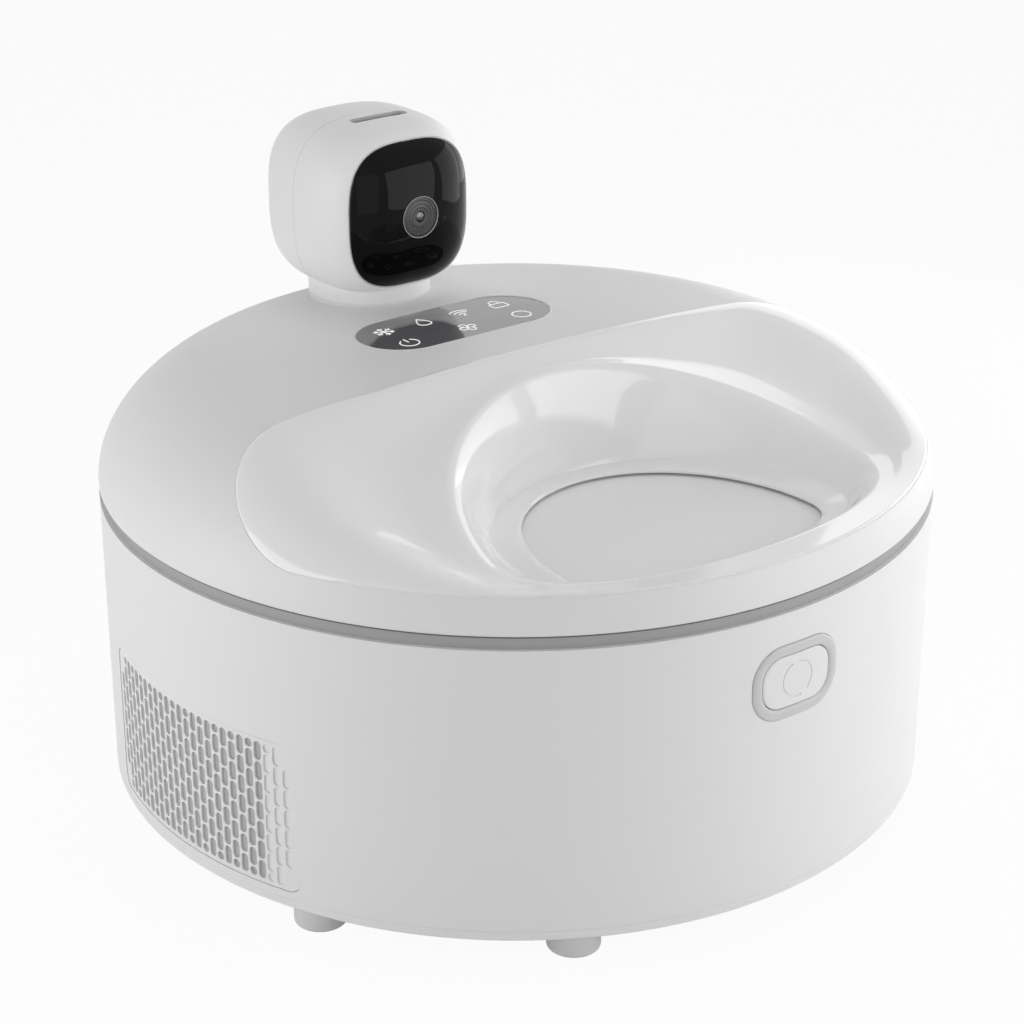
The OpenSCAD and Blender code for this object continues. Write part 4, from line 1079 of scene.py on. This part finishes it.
@dataclass
class Drum:
    """The drum's vents, painted shadow line on the seal, bezel and button."""

    radius: float = 160.0
    vent_turn: float = 86.0
    vent_z: float = 46.35
    vent_w: float = 110.0
    vent_h: float = 58.9
    vent_face: float = 159.75
    vent_t: float = 2.4
    columns: int = 26
    pitch: float = 1.48
    blind: int = 3
    rows: int = 7
    slot_w: float = 3.3
    slot_h: float = 7.4
    short_more: float = 0.1
    slot_pitch: float = 8.0
    slot_deep: float = 0.85
    slot_round: int = 12
    pad_gap: float = 0.06
    lip: float = 0.3
    lip_gap: float = 0.24
    lip_sink: float = 0.2
    felt_t: float = 0.7
    felt_gap: float = 0.05
    felt_share: float = 0.94
    felt_inset: float = 1.0
    felt_steps: int = 40
    button_z: float = 96.6
    bezel_w: float = 39.8
    bezel_h: float = 28.8
    bezel_r: float = 12.6
    bezel_ring: float = 4.2
    bezel_line: float = 0.18
    bezel_deep: float = 3.0
    bezel_least: float = 0.1
    bezel_power: float = 2.6
    proud: float = 0.8
    mark_r: float = 7.0
    mark_w: float = 0.6
    mark_t: float = 0.4
    mark_over: float = 2.0
    cap_gap: float = 0.3
    cap_t: float = 5.0
    cap_side: float = 0.55
    stem_r: float = 4.0
    stem_in: float = 0.5
    seal_shadow_width: float = 0.8
    seal_sink: float = 0.4
    seal_open: float = 13.0
    seal_steps: int = 240

    def build(self) -> None:
        """Builds the vents, the bezel, the button and the seal's painted shadow line."""
        for name, side in (("left", -1.0), ("right", 1.0)):
            self.build_vent(name, side)
        self.build_bezel()
        self.build_button()
        self.build_seal()

    def build_seal(self) -> None:
        """Lays a dark line of painted shadow along the top of the lid's seal, open at the hinge."""
        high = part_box("rim_seal")[1] / MM
        turn = arc(high.x, 90.0 + self.seal_open, 450.0 - self.seal_open, self.seal_steps)
        line = level(turn, high.z - self.seal_sink * self.seal_shadow_width)
        # The dark stroke is painted shadow under the lid's edge.
        stroke("seal_painted_shadow_line", [(line, False)], self.seal_shadow_width, PAINTED_SHADOW_LINE, Body.BASE)

    def slots(self, side: float) -> tuple[np.ndarray, np.ndarray]:
        """Lists the open slots of a vent.

        Args:
            side: -1 for the left vent, 1 for the right.

        Returns:
            Turn about the drum in degrees and height of each full slot, and the same for each short one.
        """
        middle = (self.columns - 1) / 2.0
        tall = (self.rows - 1) / 2.0
        end = (tall + tall + 0.5) * self.slot_pitch / 2.0
        full, short = [], []
        for i in range(self.columns):
            from_front = i if side > 0.0 else self.columns - 1 - i
            if from_front < self.blind:
                continue
            turn = side * self.vent_turn + (i - middle) * self.pitch
            cornered = i in (0, self.columns - 1)
            even = i % 2 == 0
            reach = tall - 1.0 if cornered else (tall if even else tall - 0.5)
            full += [(turn, self.vent_z + k * self.slot_pitch) for k in np.arange(-reach, reach + 0.5)]
            if not even and not cornered:
                short += [(turn, self.vent_z + z) for z in (-end, end)]
        return np.array(full), np.array(short)

    @staticmethod
    def field(name: str, spots: np.ndarray, radius: float) -> Piece:
        """Makes points on the drum's wall with the lean of a piece that faces outwards.

        Args:
            name: The object's name.
            spots: Turns in degrees and heights.
            radius: The points' distance from the axis.

        Returns:
            The object.
        """
        turn = np.radians(spots[:, 0])
        obj = drawn(name, np.c_[radius * np.sin(turn), -radius * np.cos(turn), spots[:, 1]], [], [])
        lean = obj.data.attributes.new("lean", "FLOAT_VECTOR", "POINT")
        lean.data.foreach_set("vector", np.c_[np.full(len(turn), QUARTER_TURN), turn * 0.0, turn].ravel())
        return obj

    def build_vent(self, name: str, side: float) -> None:
        """Makes a vent's felt with a raised pad in every slot, and the slots' rounded lips.

        Args:
            name: Which vent.
            side: -1 for the left vent, 1 for the right.
        """
        back = self.vent_face - self.vent_t - self.felt_gap
        top = self.vent_face - self.slot_deep
        half = math.asin(self.vent_w / 2.0 / self.radius) * self.felt_share
        tall = self.vent_h / 2.0 - self.felt_inset
        under = back - self.felt_t
        edge = ((under, -tall), (back, -tall), (back, tall), (under, tall))
        rings = [
            np.array([(r * math.sin(t), -r * math.cos(t), self.vent_z + z) for r, z in edge])
            for t in side * math.radians(self.vent_turn) + np.linspace(-half, half, self.felt_steps)
        ]
        sheet = solid(name + "_vent_felt", skin(rings, caps=True))
        settle(sheet, FILTER_GREY, Body.BASE)
        heights = (self.slot_h, self.slot_w + self.short_more)
        for kind, spots, height in zip(("full", "short"), self.slots(side), heights):
            label = f"{name}_{kind}_slot"
            points = self.field(label + "_pads", spots, (top + back) / 2.0)
            self.build_pads(label, points, height, top - back)
            points = self.field(label + "_lips", spots, self.vent_face - self.lip_sink * self.lip)
            self.build_lips(label, points, height)

    def build_pads(self, label: str, points: Piece, height: float, depth: float) -> None:
        """Raises a pad of felt in each slot.

        Args:
            label: The slots' name.
            points: The object of the pads' middles.
            height: The slots' height.
            depth: The pads' depth.
        """
        sizes = {"Width": self.slot_w - self.pad_gap, "Height": height - self.pad_gap, "Depth": depth}
        pads = Growth(label + "_pad_tree", sizes)
        block = pads.shape("GeometryNodeMeshCylinder", {
            "Vertices": self.slot_round, "Radius": pads.half("Width"), "Depth": pads.inputs["Depth"],
        })
        shape = pads.repeated(pads.stretched(block, self.slot_round))
        settle(pads.grow(points, shape, FILTER_GREY), FILTER_GREY, Body.BASE)

    def build_lips(self, label: str, points: Piece, height: float) -> None:
        """Lays a rounded lip round each slot.

        Args:
            label: The slots' name.
            points: The object of the lips' middles.
            height: The slots' height.
        """
        sizes = {"Width": self.slot_w + self.lip_gap, "Height": height + self.lip_gap, "Lip": self.lip}
        lips = Growth(label + "_lip_tree", sizes)
        path = lips.shape("GeometryNodeCurvePrimitiveCircle", {
            "Resolution": self.slot_round, "Radius": lips.half("Width"),
        })
        bead = lips.swept(lips.stretched(path, self.slot_round), LIP_SIDES, "Lip", False)
        settle(lips.grow(points, lips.repeated(bead), MATTE_WHITE), MATTE_WHITE, Body.BASE)

    def rim(self, inset: float) -> np.ndarray:
        """Draws the bezel's flat outline, set in."""
        width, height = (size - 2.0 * inset for size in (self.bezel_w, self.bezel_h))
        return rounded(width, height, self.bezel_r - inset, 24, 10)

    def wrapped(self, outline: np.ndarray, rise: float) -> np.ndarray:
        """Carries a flat outline straight back onto the drum's front, standing off its face."""
        y = -np.sqrt((self.radius + rise) ** 2 - outline[:, 0] ** 2)
        return np.c_[outline[:, 0], y, self.button_z + outline[:, 1]]

    def build_bezel(self) -> None:
        """Makes the rounded satin ring round the button."""
        half = self.bezel_ring / 2.0
        path = [(self.bezel_line, -self.bezel_deep), (self.bezel_line, self.bezel_least)]
        for u in np.linspace(-1.0, 1.0, 17)[1:-1]:
            rise = self.proud * (1.0 - abs(u) ** self.bezel_power) ** 0.5
            path.append((half + u * (half - self.bezel_line), max(rise, self.bezel_least)))
        path += [(self.bezel_ring, self.bezel_least), (self.bezel_ring, -self.bezel_deep)]
        rings = [self.wrapped(self.rim(inset), rise) for inset, rise in path]
        ring = solid("bezel_ring_skin", skin(rings, closed=True))
        settle(ring, GREY_TRIM, Body.BASE, ("bezel_ring_trim",))

    def build_button(self) -> None:
        """Makes the button's cap with its broken engraved ring, and its stem."""
        face = self.proud / 2.0
        rim = self.rim(self.bezel_ring + self.cap_gap)
        edge = ((0.006, 0.28), (0.018, 0.1), (0.04, 0.0))
        rings = [self.wrapped(rim, -self.cap_t), self.wrapped(rim, face - self.cap_side)]
        rings += [self.wrapped(rim * (1.0 - d), face - h) for d, h in edge]
        rings += [self.wrapped(rim * f, face) for f in np.linspace(0.9, 0.1, 9)]
        cap = solid("button_cap_skin", skin(rings, caps=True))
        deep = -self.radius - face + self.mark_t
        tools = []
        for start, end in ((112.0, 286.0), (312.0, 446.0)):
            inner, outer = (arc(r, start, end, 40) for r in (self.mark_r - self.mark_w, self.mark_r))
            loop = np.vstack([outer, inner[::-1]])
            walls = [upright(loop, y, self.button_z) for y in (deep, deep - self.mark_over)]
            tools.append(solid("hole_mark", skin(walls, caps=True)))
        cut(cap, tools)
        settle(cap, MATTE_WHITE, Body.BUTTON, ("front_button",))
        ends = (-self.radius + self.cap_t - self.stem_in, (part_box("front_button")[1] / MM).y)
        rod = [upright(circle(self.stem_r, 40), y, self.button_z) for y in ends]
        settle(solid("button_stem", skin(rod, caps=True)), MATTE_WHITE, Body.BUTTON)


@dataclass
class Carousel:
    """The turning tray's food bowls."""

    lid: Lid
    tray_z: float = 127.5
    depth: float = 35.0
    sheet: float = 2.0
    web: float = 2.8
    lip: float = 2.5
    lip_t: float = 1.5
    lip_soft: float = 0.4
    mouth_soft: float = 1.0
    draft: float = 4.5
    corner: float = 7.5
    sector: float = 72.0
    bends: int = 9

    def build(self) -> None:
        """Builds the four bowls."""
        for k in range(1, 5):
            self.build_bowl(k)

    def build_bowl(self, k: int) -> None:
        """Makes one bowl, hung in the tray by its lip.

        Args:
            k: The bowl's sector.
        """
        floor = self.tray_z - self.depth
        under = self.tray_z - self.lip_t
        soft = self.lip_soft
        mouth = -self.lip - self.sheet
        foot = [
            (floor + self.corner * (1.0 - math.cos(a)),
             -self.lip - self.draft - self.corner * (1.0 - math.sin(a)))
            for a in np.linspace(0.0, QUARTER_TURN, self.bends)
        ]
        levels = foot + [
            (under, -self.lip), (under, -soft), (under + soft, 0.0), (self.tray_z - soft, 0.0),
            (self.tray_z, -soft), (self.tray_z, mouth + self.mouth_soft),
            (self.tray_z - self.mouth_soft, mouth),
        ]
        levels += [(z + self.sheet, grow - self.sheet) for z, grow in foot[::-1]]
        turn = math.radians(k * self.sector)
        spin = np.array(((math.cos(turn), math.sin(turn)), (-math.sin(turn), math.cos(turn))))
        rings = [level(self.lid.hole(grow - self.web) @ spin, z) for z, grow in levels]
        bowl = solid(f"food_bowl_skin_{k}", skin(rings, caps=True))
        settle(bowl, STAINLESS, Body.TURNTABLE, (f"food_bowl_{k}",))


@dataclass
class Head:
    """The camera head with its neck, two shells, black glass and lens."""

    y: float = 98.5
    z: float = 209.08
    half_w: float = 36.4
    half_h: float = 35.0
    half_d: float = 37.5
    wide_power: float = 2.64
    tall_power: float = 3.14
    section_power: float = 3.0
    seam: float = -1.5
    seam_gap: float = 0.06
    soft: float = 0.2
    soft_share: float = 0.3
    glass_y: float = -28.3
    glass_gap: float = 0.2
    glass_soft: float = 0.5
    glass_t: float = 2.0
    shell_t: float = 3.5
    shell_end: float = 0.4
    lens_r: float = 8.5
    bore_gap: float = 0.1
    pupil_r: float = 2.1
    rim_w: float = 0.5
    rim_sink: float = 0.15
    pocket_gap: float = 0.5
    pocket_seat: float = 0.3
    pocket_rim: float = 0.4
    cut_over: float = 20.0
    lens_in: float = 0.4
    barrel_len: float = 21.0
    barrel_t: float = 4.6
    neck_r: float = 24.8
    neck_t: float = 6.0
    neck_low: float = 171.42
    neck_high: float = 180.5
    steps: int = 160
    neck_steps: int = 144
    lens_steps: int = 96
    bore_steps: int = 72

    def spans(self, t: Any, inset: float = 0.0) -> tuple[Any, Any]:
        """Gives the section's half width and half height at a share of the head's half depth."""
        sides = ((self.half_w, self.wide_power), (self.half_h, self.tall_power))
        return tuple((half - inset) * (1.0 - t**n) ** (1.0 / n) for half, n in sides)

    def ring(self, y: float, inset: float = 0.0) -> np.ndarray:
        """Gives the head's section at a depth.

        Args:
            y: Depth from the head's middle.
            inset: How far under the outer skin.

        Returns:
            The section's points.
        """
        a, c = self.spans(min(abs(y) / (self.half_d - inset), 1.0), inset)
        cos, sin = np.cos(turns(self.steps)), np.sin(turns(self.steps))
        power = 2.0 / self.section_power
        x = a * np.sign(cos) * np.abs(cos) ** power
        z = c * np.sign(sin) * np.abs(sin) ** power
        return upright(np.c_[x, z], self.y + y, self.z)

    def rounds(self, start: float, way: float, count: int, inset: float = 0.0) -> list[np.ndarray]:
        """Gives the sections from a depth to the head's pole.

        Args:
            start: Depth of the first section.
            way: 1 for the rear pole, -1 for the front one.
            count: Number of sections.
            inset: How far under the outer skin.

        Returns:
            The sections.
        """
        reach = self.half_d - inset
        swing = np.linspace(math.asin(start / reach), way * math.pi / 2.0, count)
        return [self.ring(reach * math.sin(b), inset) for b in swing]

    def laid(self, points: np.ndarray) -> np.ndarray:
        """Lays flat points on the head's top.

        Args:
            points: Points in the XY plane.

        Returns:
            The points on the outer skin.
        """
        a, c = self.spans(np.abs(points[:, 1] - self.y) / self.half_d)
        n = self.section_power
        return np.c_[points, self.z + c * (1.0 - (np.abs(points[:, 0]) / a) ** n) ** (1.0 / n)]

    def build(self) -> None:
        """Builds the head's pieces."""
        self.build_rear()
        self.build_front()
        self.build_glass()
        self.build_neck()
        self.build_lens()

    def edge(self, near: float, way: float) -> list[np.ndarray]:
        """Gives the rounded outer edge of a shell at the seam, to the rear or to the front."""
        path = np.array(((0.0, 1.0), (self.soft_share, self.soft_share), (1.0, 0.0))) * self.soft
        return [self.ring(near + way * run, inset) for run, inset in path]

    def build_rear(self) -> None:
        """Makes the rear shell, which closes in a pole."""
        near = self.seam + self.seam_gap
        outer = self.edge(near, 1.0) + self.rounds(near + self.soft, 1.0, 30)[1:]
        inner = [self.ring(near, self.shell_t)] + self.rounds(near, 1.0, 16, self.shell_t)[1:]
        obj = solid("head_rear_skin", skin(inner[::-1] + outer))
        settle(obj, HEAD_WHITE_PAINTED_LIGHT, Body.HEAD, ("head_rear_shell",))

    def build_front(self) -> None:
        """Makes the front shell with the touch strip's pocket, and the rims of glass and pocket."""
        near, far = self.seam - self.seam_gap, self.glass_y
        outer = self.edge(near, -1.0)
        outer += [self.ring(y) for y in np.linspace(near - self.soft, far + self.shell_end, 16)[1:]]
        outer += [self.ring(far + 0.12, 0.1), self.ring(far, 0.35)]
        inner = [self.ring(y, self.shell_t) for y in np.linspace(near, far, 10)]
        obj = solid("head_front_skin", skin(inner[::-1] + outer, closed=True))
        pocket, low, high = pill_round("touch_strip", self.pocket_gap, 24)
        cut(obj, [solid("hole_strip", prism(pocket, low - self.pocket_seat, high + self.cut_over))])
        settle(obj, HEAD_WHITE_PAINTED_LIGHT, Body.HEAD, ("head_front_shell",))
        loop = [(self.ring(self.glass_y, self.rim_sink * self.rim_w), True)]
        stroke("glass_rim", loop, self.rim_w, BRIGHT_RIM, Body.HEAD)
        loop = [(self.laid(pocket), True)]
        stroke("strip_rim", loop, self.pocket_rim, HEAD_WHITE_PAINTED_LIGHT, Body.HEAD)

    def build_glass(self) -> None:
        """Makes the black front glass with its lens bore."""
        edge = self.glass_y - self.glass_gap
        start = edge - self.glass_soft
        outer = [self.ring(edge, self.glass_soft), self.ring(edge - 0.15, 0.15), self.ring(start)]
        outer += self.rounds(start, -1.0, 34)[1:]
        inner = self.rounds(edge, -1.0, 18, self.glass_t)
        obj = solid("front_glass_skin", skin(inner[::-1] + outer))
        turn = turns(self.bore_steps)
        hole = (self.lens_r + self.bore_gap) * np.c_[np.cos(turn), np.sin(turn)]
        bore = [upright(hole, self.y + y, self.z) for y in (-self.half_d - 5.0, -self.half_d + 8.0)]
        cut(obj, [solid("hole_lens", skin(bore, caps=True))])
        settle(obj, BLACK_GLASS, Body.HEAD, ("front_glass",))

    def build_neck(self) -> None:
        """Makes the smooth neck between the collar and the head."""
        inside = self.neck_r - self.neck_t
        profile = [
            (inside, self.neck_low), (self.neck_r, self.neck_low),
            (self.neck_r, self.neck_high), (inside, self.neck_high),
        ]
        verts, faces = lathe(profile, self.neck_steps)
        neck = solid("head_neck_skin", (verts + np.array((0.0, self.y, 0.0)), faces))
        settle(neck, HEAD_WHITE_PAINTED_LIGHT, Body.HEAD, ("head_neck",))

    def lens_piece(
        self, name: str, profile: Sequence[Pair], finish: Finish, nodes: Sequence[str] = ()
    ) -> None:
        """Turns a closed profile about the lens's axis and settles the piece.

        Args:
            name: The piece's name.
            profile: Radius and depth behind the barrel's front.
            finish: Its finish.
            nodes: The CAD nodes it stands for.
        """
        verts, faces = lathe(profile, self.lens_steps)
        front = self.y - self.half_d + self.lens_in
        placed = np.c_[verts[:, 0], front + verts[:, 2], self.z + verts[:, 1]]
        settle(solid(name, (placed, faces)), finish, Body.HEAD, nodes)

    def build_lens(self) -> None:
        """Makes the lens barrel, its bright bezel, the stepped rings and the lens."""
        r, pupil, back = self.lens_r, self.pupil_r, self.barrel_len
        inside = r - self.barrel_t
        tube = [(r - 0.7, 0.3), (r, 0.3), (r, back), (inside, back), (inside, 2.6), (r - 0.7, 2.6)]
        self.lens_piece("lens_barrel_skin", tube, BLACK_PLASTIC, ("lens_barrel",))
        edge = [(r, 0.3), (r, 0.12), (r - 0.12, 0.0), (r - 0.33, 0.0), (r - 0.45, 0.12), (r - 0.45, 0.3)]
        self.lens_piece("lens_bezel", edge, LENS_RIM)
        face = [(r - 0.72, 1.9), (r - 0.72, 0.55), (r - 1.0, 0.4)]
        bead = ((0.22, 0.4), (0.08, 0.26), (-0.08, 0.26), (-0.22, 0.4), (-0.3, 0.5))
        for share in (0.80, 0.62, 0.45):
            face += [(share * r + out, deep) for out, deep in bead]
        face += [(pupil + 0.4, 0.5), (pupil + 0.1, 0.7), (pupil + 0.1, 1.9)]
        self.lens_piece("lens_rings", face, LENS_GREY)
        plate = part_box("lens_glass")[1].x / MM
        bend = np.linspace(0.0, QUARTER_TURN, 14)
        curve = [(plate, 2.4), (plate, 2.0), (pupil, 2.0)]
        curve += [(pupil * math.cos(a), 1.1 - 0.65 * math.sin(a)) for a in bend] + [(0.0, 2.4)]
        self.lens_piece("lens_dome_skin", curve, LENS_COAT, ("lens_glass",))


@dataclass
class Studio:
    """Camera, floor, world and lamps, in metres."""

    lens: float = 90.0
    sensor: float = 36.0
    distance: float = 1.001
    elevation: float = math.radians(23.39)
    azimuth: float = math.radians(-37.4)
    target_z: float = 0.1042
    side_shift: float = -0.0016
    floor_r: float = 6.0
    floor_steps: int = 96
    floor_tone: Rgba = (0.86, 0.86, 0.86, 1.0)
    floor_rough: float = 0.9
    floor_share: float = 0.94
    ambient: float = 0.24
    white: float = 1.0
    aim_z: float = 0.12

    def build(self) -> None:
        """Builds the stage."""
        self.build_camera()
        self.build_floor()
        self.build_world()
        self.build_lamps()
        bpy.context.scene.view_settings.view_transform = "Standard"

    def build_camera(self) -> None:
        """Stands the camera at the photograph's viewing angle."""
        data = bpy.data.cameras.new("camera")
        data.lens = self.lens
        data.sensor_width = self.sensor
        camera = linked("camera", data)
        cos, sin = math.cos(self.azimuth), math.sin(self.azimuth)
        target = Vector((0.0, 0.0, self.target_z)) + Vector((cos, sin, 0.0)) * self.side_shift
        flat = math.cos(self.elevation)
        away = Vector((sin * flat, -cos * flat, math.sin(self.elevation)))
        camera.location = target + away * self.distance
        camera.rotation_euler = (-away).to_track_quat("-Z", "Y").to_euler()
        bpy.context.scene.camera = camera

    def build_floor(self) -> None:
        """Lays the pale floor, white to the camera but still taking the shadow."""
        turn = turns(self.floor_steps)
        ring = np.c_[np.cos(turn), np.sin(turn), np.zeros(self.floor_steps)] * self.floor_r / MM
        floor = solid("floor", (ring, [tuple(range(self.floor_steps))]))
        made = bpy.data.materials.new("pale_floor")
        made.use_nodes = True
        tree = made.node_tree
        plain = {"Base Color": self.floor_tone, "Roughness": self.floor_rough}
        shader = feed(tree, tree.nodes["Principled BSDF"], plain)
        share = reckon(tree, "MULTIPLY", self.seen(tree), self.floor_share)
        self.whiten(tree, shader, "ShaderNodeEmission", share, "Material Output")
        floor.data.materials.append(made)

    def build_world(self) -> None:
        """Sets a white background with a plain ambient light."""
        world = bpy.data.worlds.new("studio")
        bpy.context.scene.world = world
        world.use_nodes = True
        tree = world.node_tree
        light = feed(tree, tree.nodes["Background"], {"Color": WHITE, "Strength": self.ambient})
        self.whiten(tree, light, "ShaderNodeBackground", self.seen(tree), "World Output")

    @staticmethod
    def seen(tree: Tree) -> Socket:
        """Adds a test for camera, glossy and transmission rays.

        Args:
            tree: The node tree.

        Returns:
            A socket that is 1 for such a ray.
        """
        path = add_node(tree, "ShaderNodeLightPath", {}).outputs
        total = path["Is Camera Ray"]
        for name in ("Is Glossy Ray", "Is Transmission Ray"):
            total = reckon(tree, "MAXIMUM", total, path[name])
        return total

    def whiten(self, tree: Tree, shader: bpy.types.Node, kind: str, amount: Socket, end: str) -> None:
        """Mixes plain white over a shader and links the output.

        Args:
            tree: The node tree.
            shader: The shader for rays that see no white.
            kind: The type of the white shader's node.
            amount: How much white a ray sees.
            end: The output node's name.
        """
        white = add_node(tree, kind, {"Color": WHITE, "Strength": self.white}).outputs[0]
        mix = add_node(tree, "ShaderNodeMixShader", {0: amount, 1: shader.outputs[0], 2: white})
        feed(tree, tree.nodes[end], {"Surface": mix.outputs[0]})

    def build_lamps(self) -> None:
        """Hangs the soft boxes."""
        self.lamp("key_right", (0.61, -0.16, 0.25), 0.48, 1.05)
        self.lamp("front_right", (0.27, -0.57, 0.25), 0.48, 1.25)
        self.lamp("front_left", (-0.32, -0.55, 0.25), 0.48, 0.3)
        self.lamp("side_left", (-0.62, 0.11, 0.23), 0.48, 1.35)
        self.lamp("rear_right", (0.59, 0.22, 0.28), 0.44, 0.5)
        self.lamp("top", (0.1, 0.1, 1.3), 0.8, 2.9, False)

    def lamp(self, name: str, place: Point, size: float, power: float, mirrored: bool = True) -> None:
        """Hangs one soft box that faces the object.

        Args:
            name: The lamp's name.
            place: Where it hangs.
            size: Its edge.
            power: Its power in watts.
            mirrored: Whether gloss surfaces mirror it.
        """
        data = bpy.data.lights.new(name, "AREA")
        data.shape = "SQUARE"
        data.size = size
        data.energy = power
        lamp = linked(name, data)
        lamp.location = place
        lamp.visible_camera = False
        lamp.visible_glossy = mirrored
        aim = Vector((0.0, 0.0, self.aim_z)) - Vector(place)
        lamp.rotation_euler = aim.to_track_quat("-Z", "Y").to_euler()


def dress_nodes(nodes: dict[str, Piece]) -> None:
    """Gives every CAD node its finish and reports it.

    Args:
        nodes: The frame's nodes by name.
    """
    for finish, names in NODE_FINISH.items():
        for name in names:
            data = nodes[name].data
            data.materials.clear()
            data.materials.append(finish.material())
            LOG.info("%s is finished in %s", name, finish.name)


def main() -> None:
    """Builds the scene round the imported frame."""
    logging.basicConfig(level=logging.INFO, format="%(name)s: %(message)s")
    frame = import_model()
    dress_nodes(frame["nodes"])
    lid = Lid()
    for part in (Studio(), lid, ControlPanel(lid), Drum(), Carousel(lid), Head()):
        part.build()


if __name__ == "__main__":
    main()
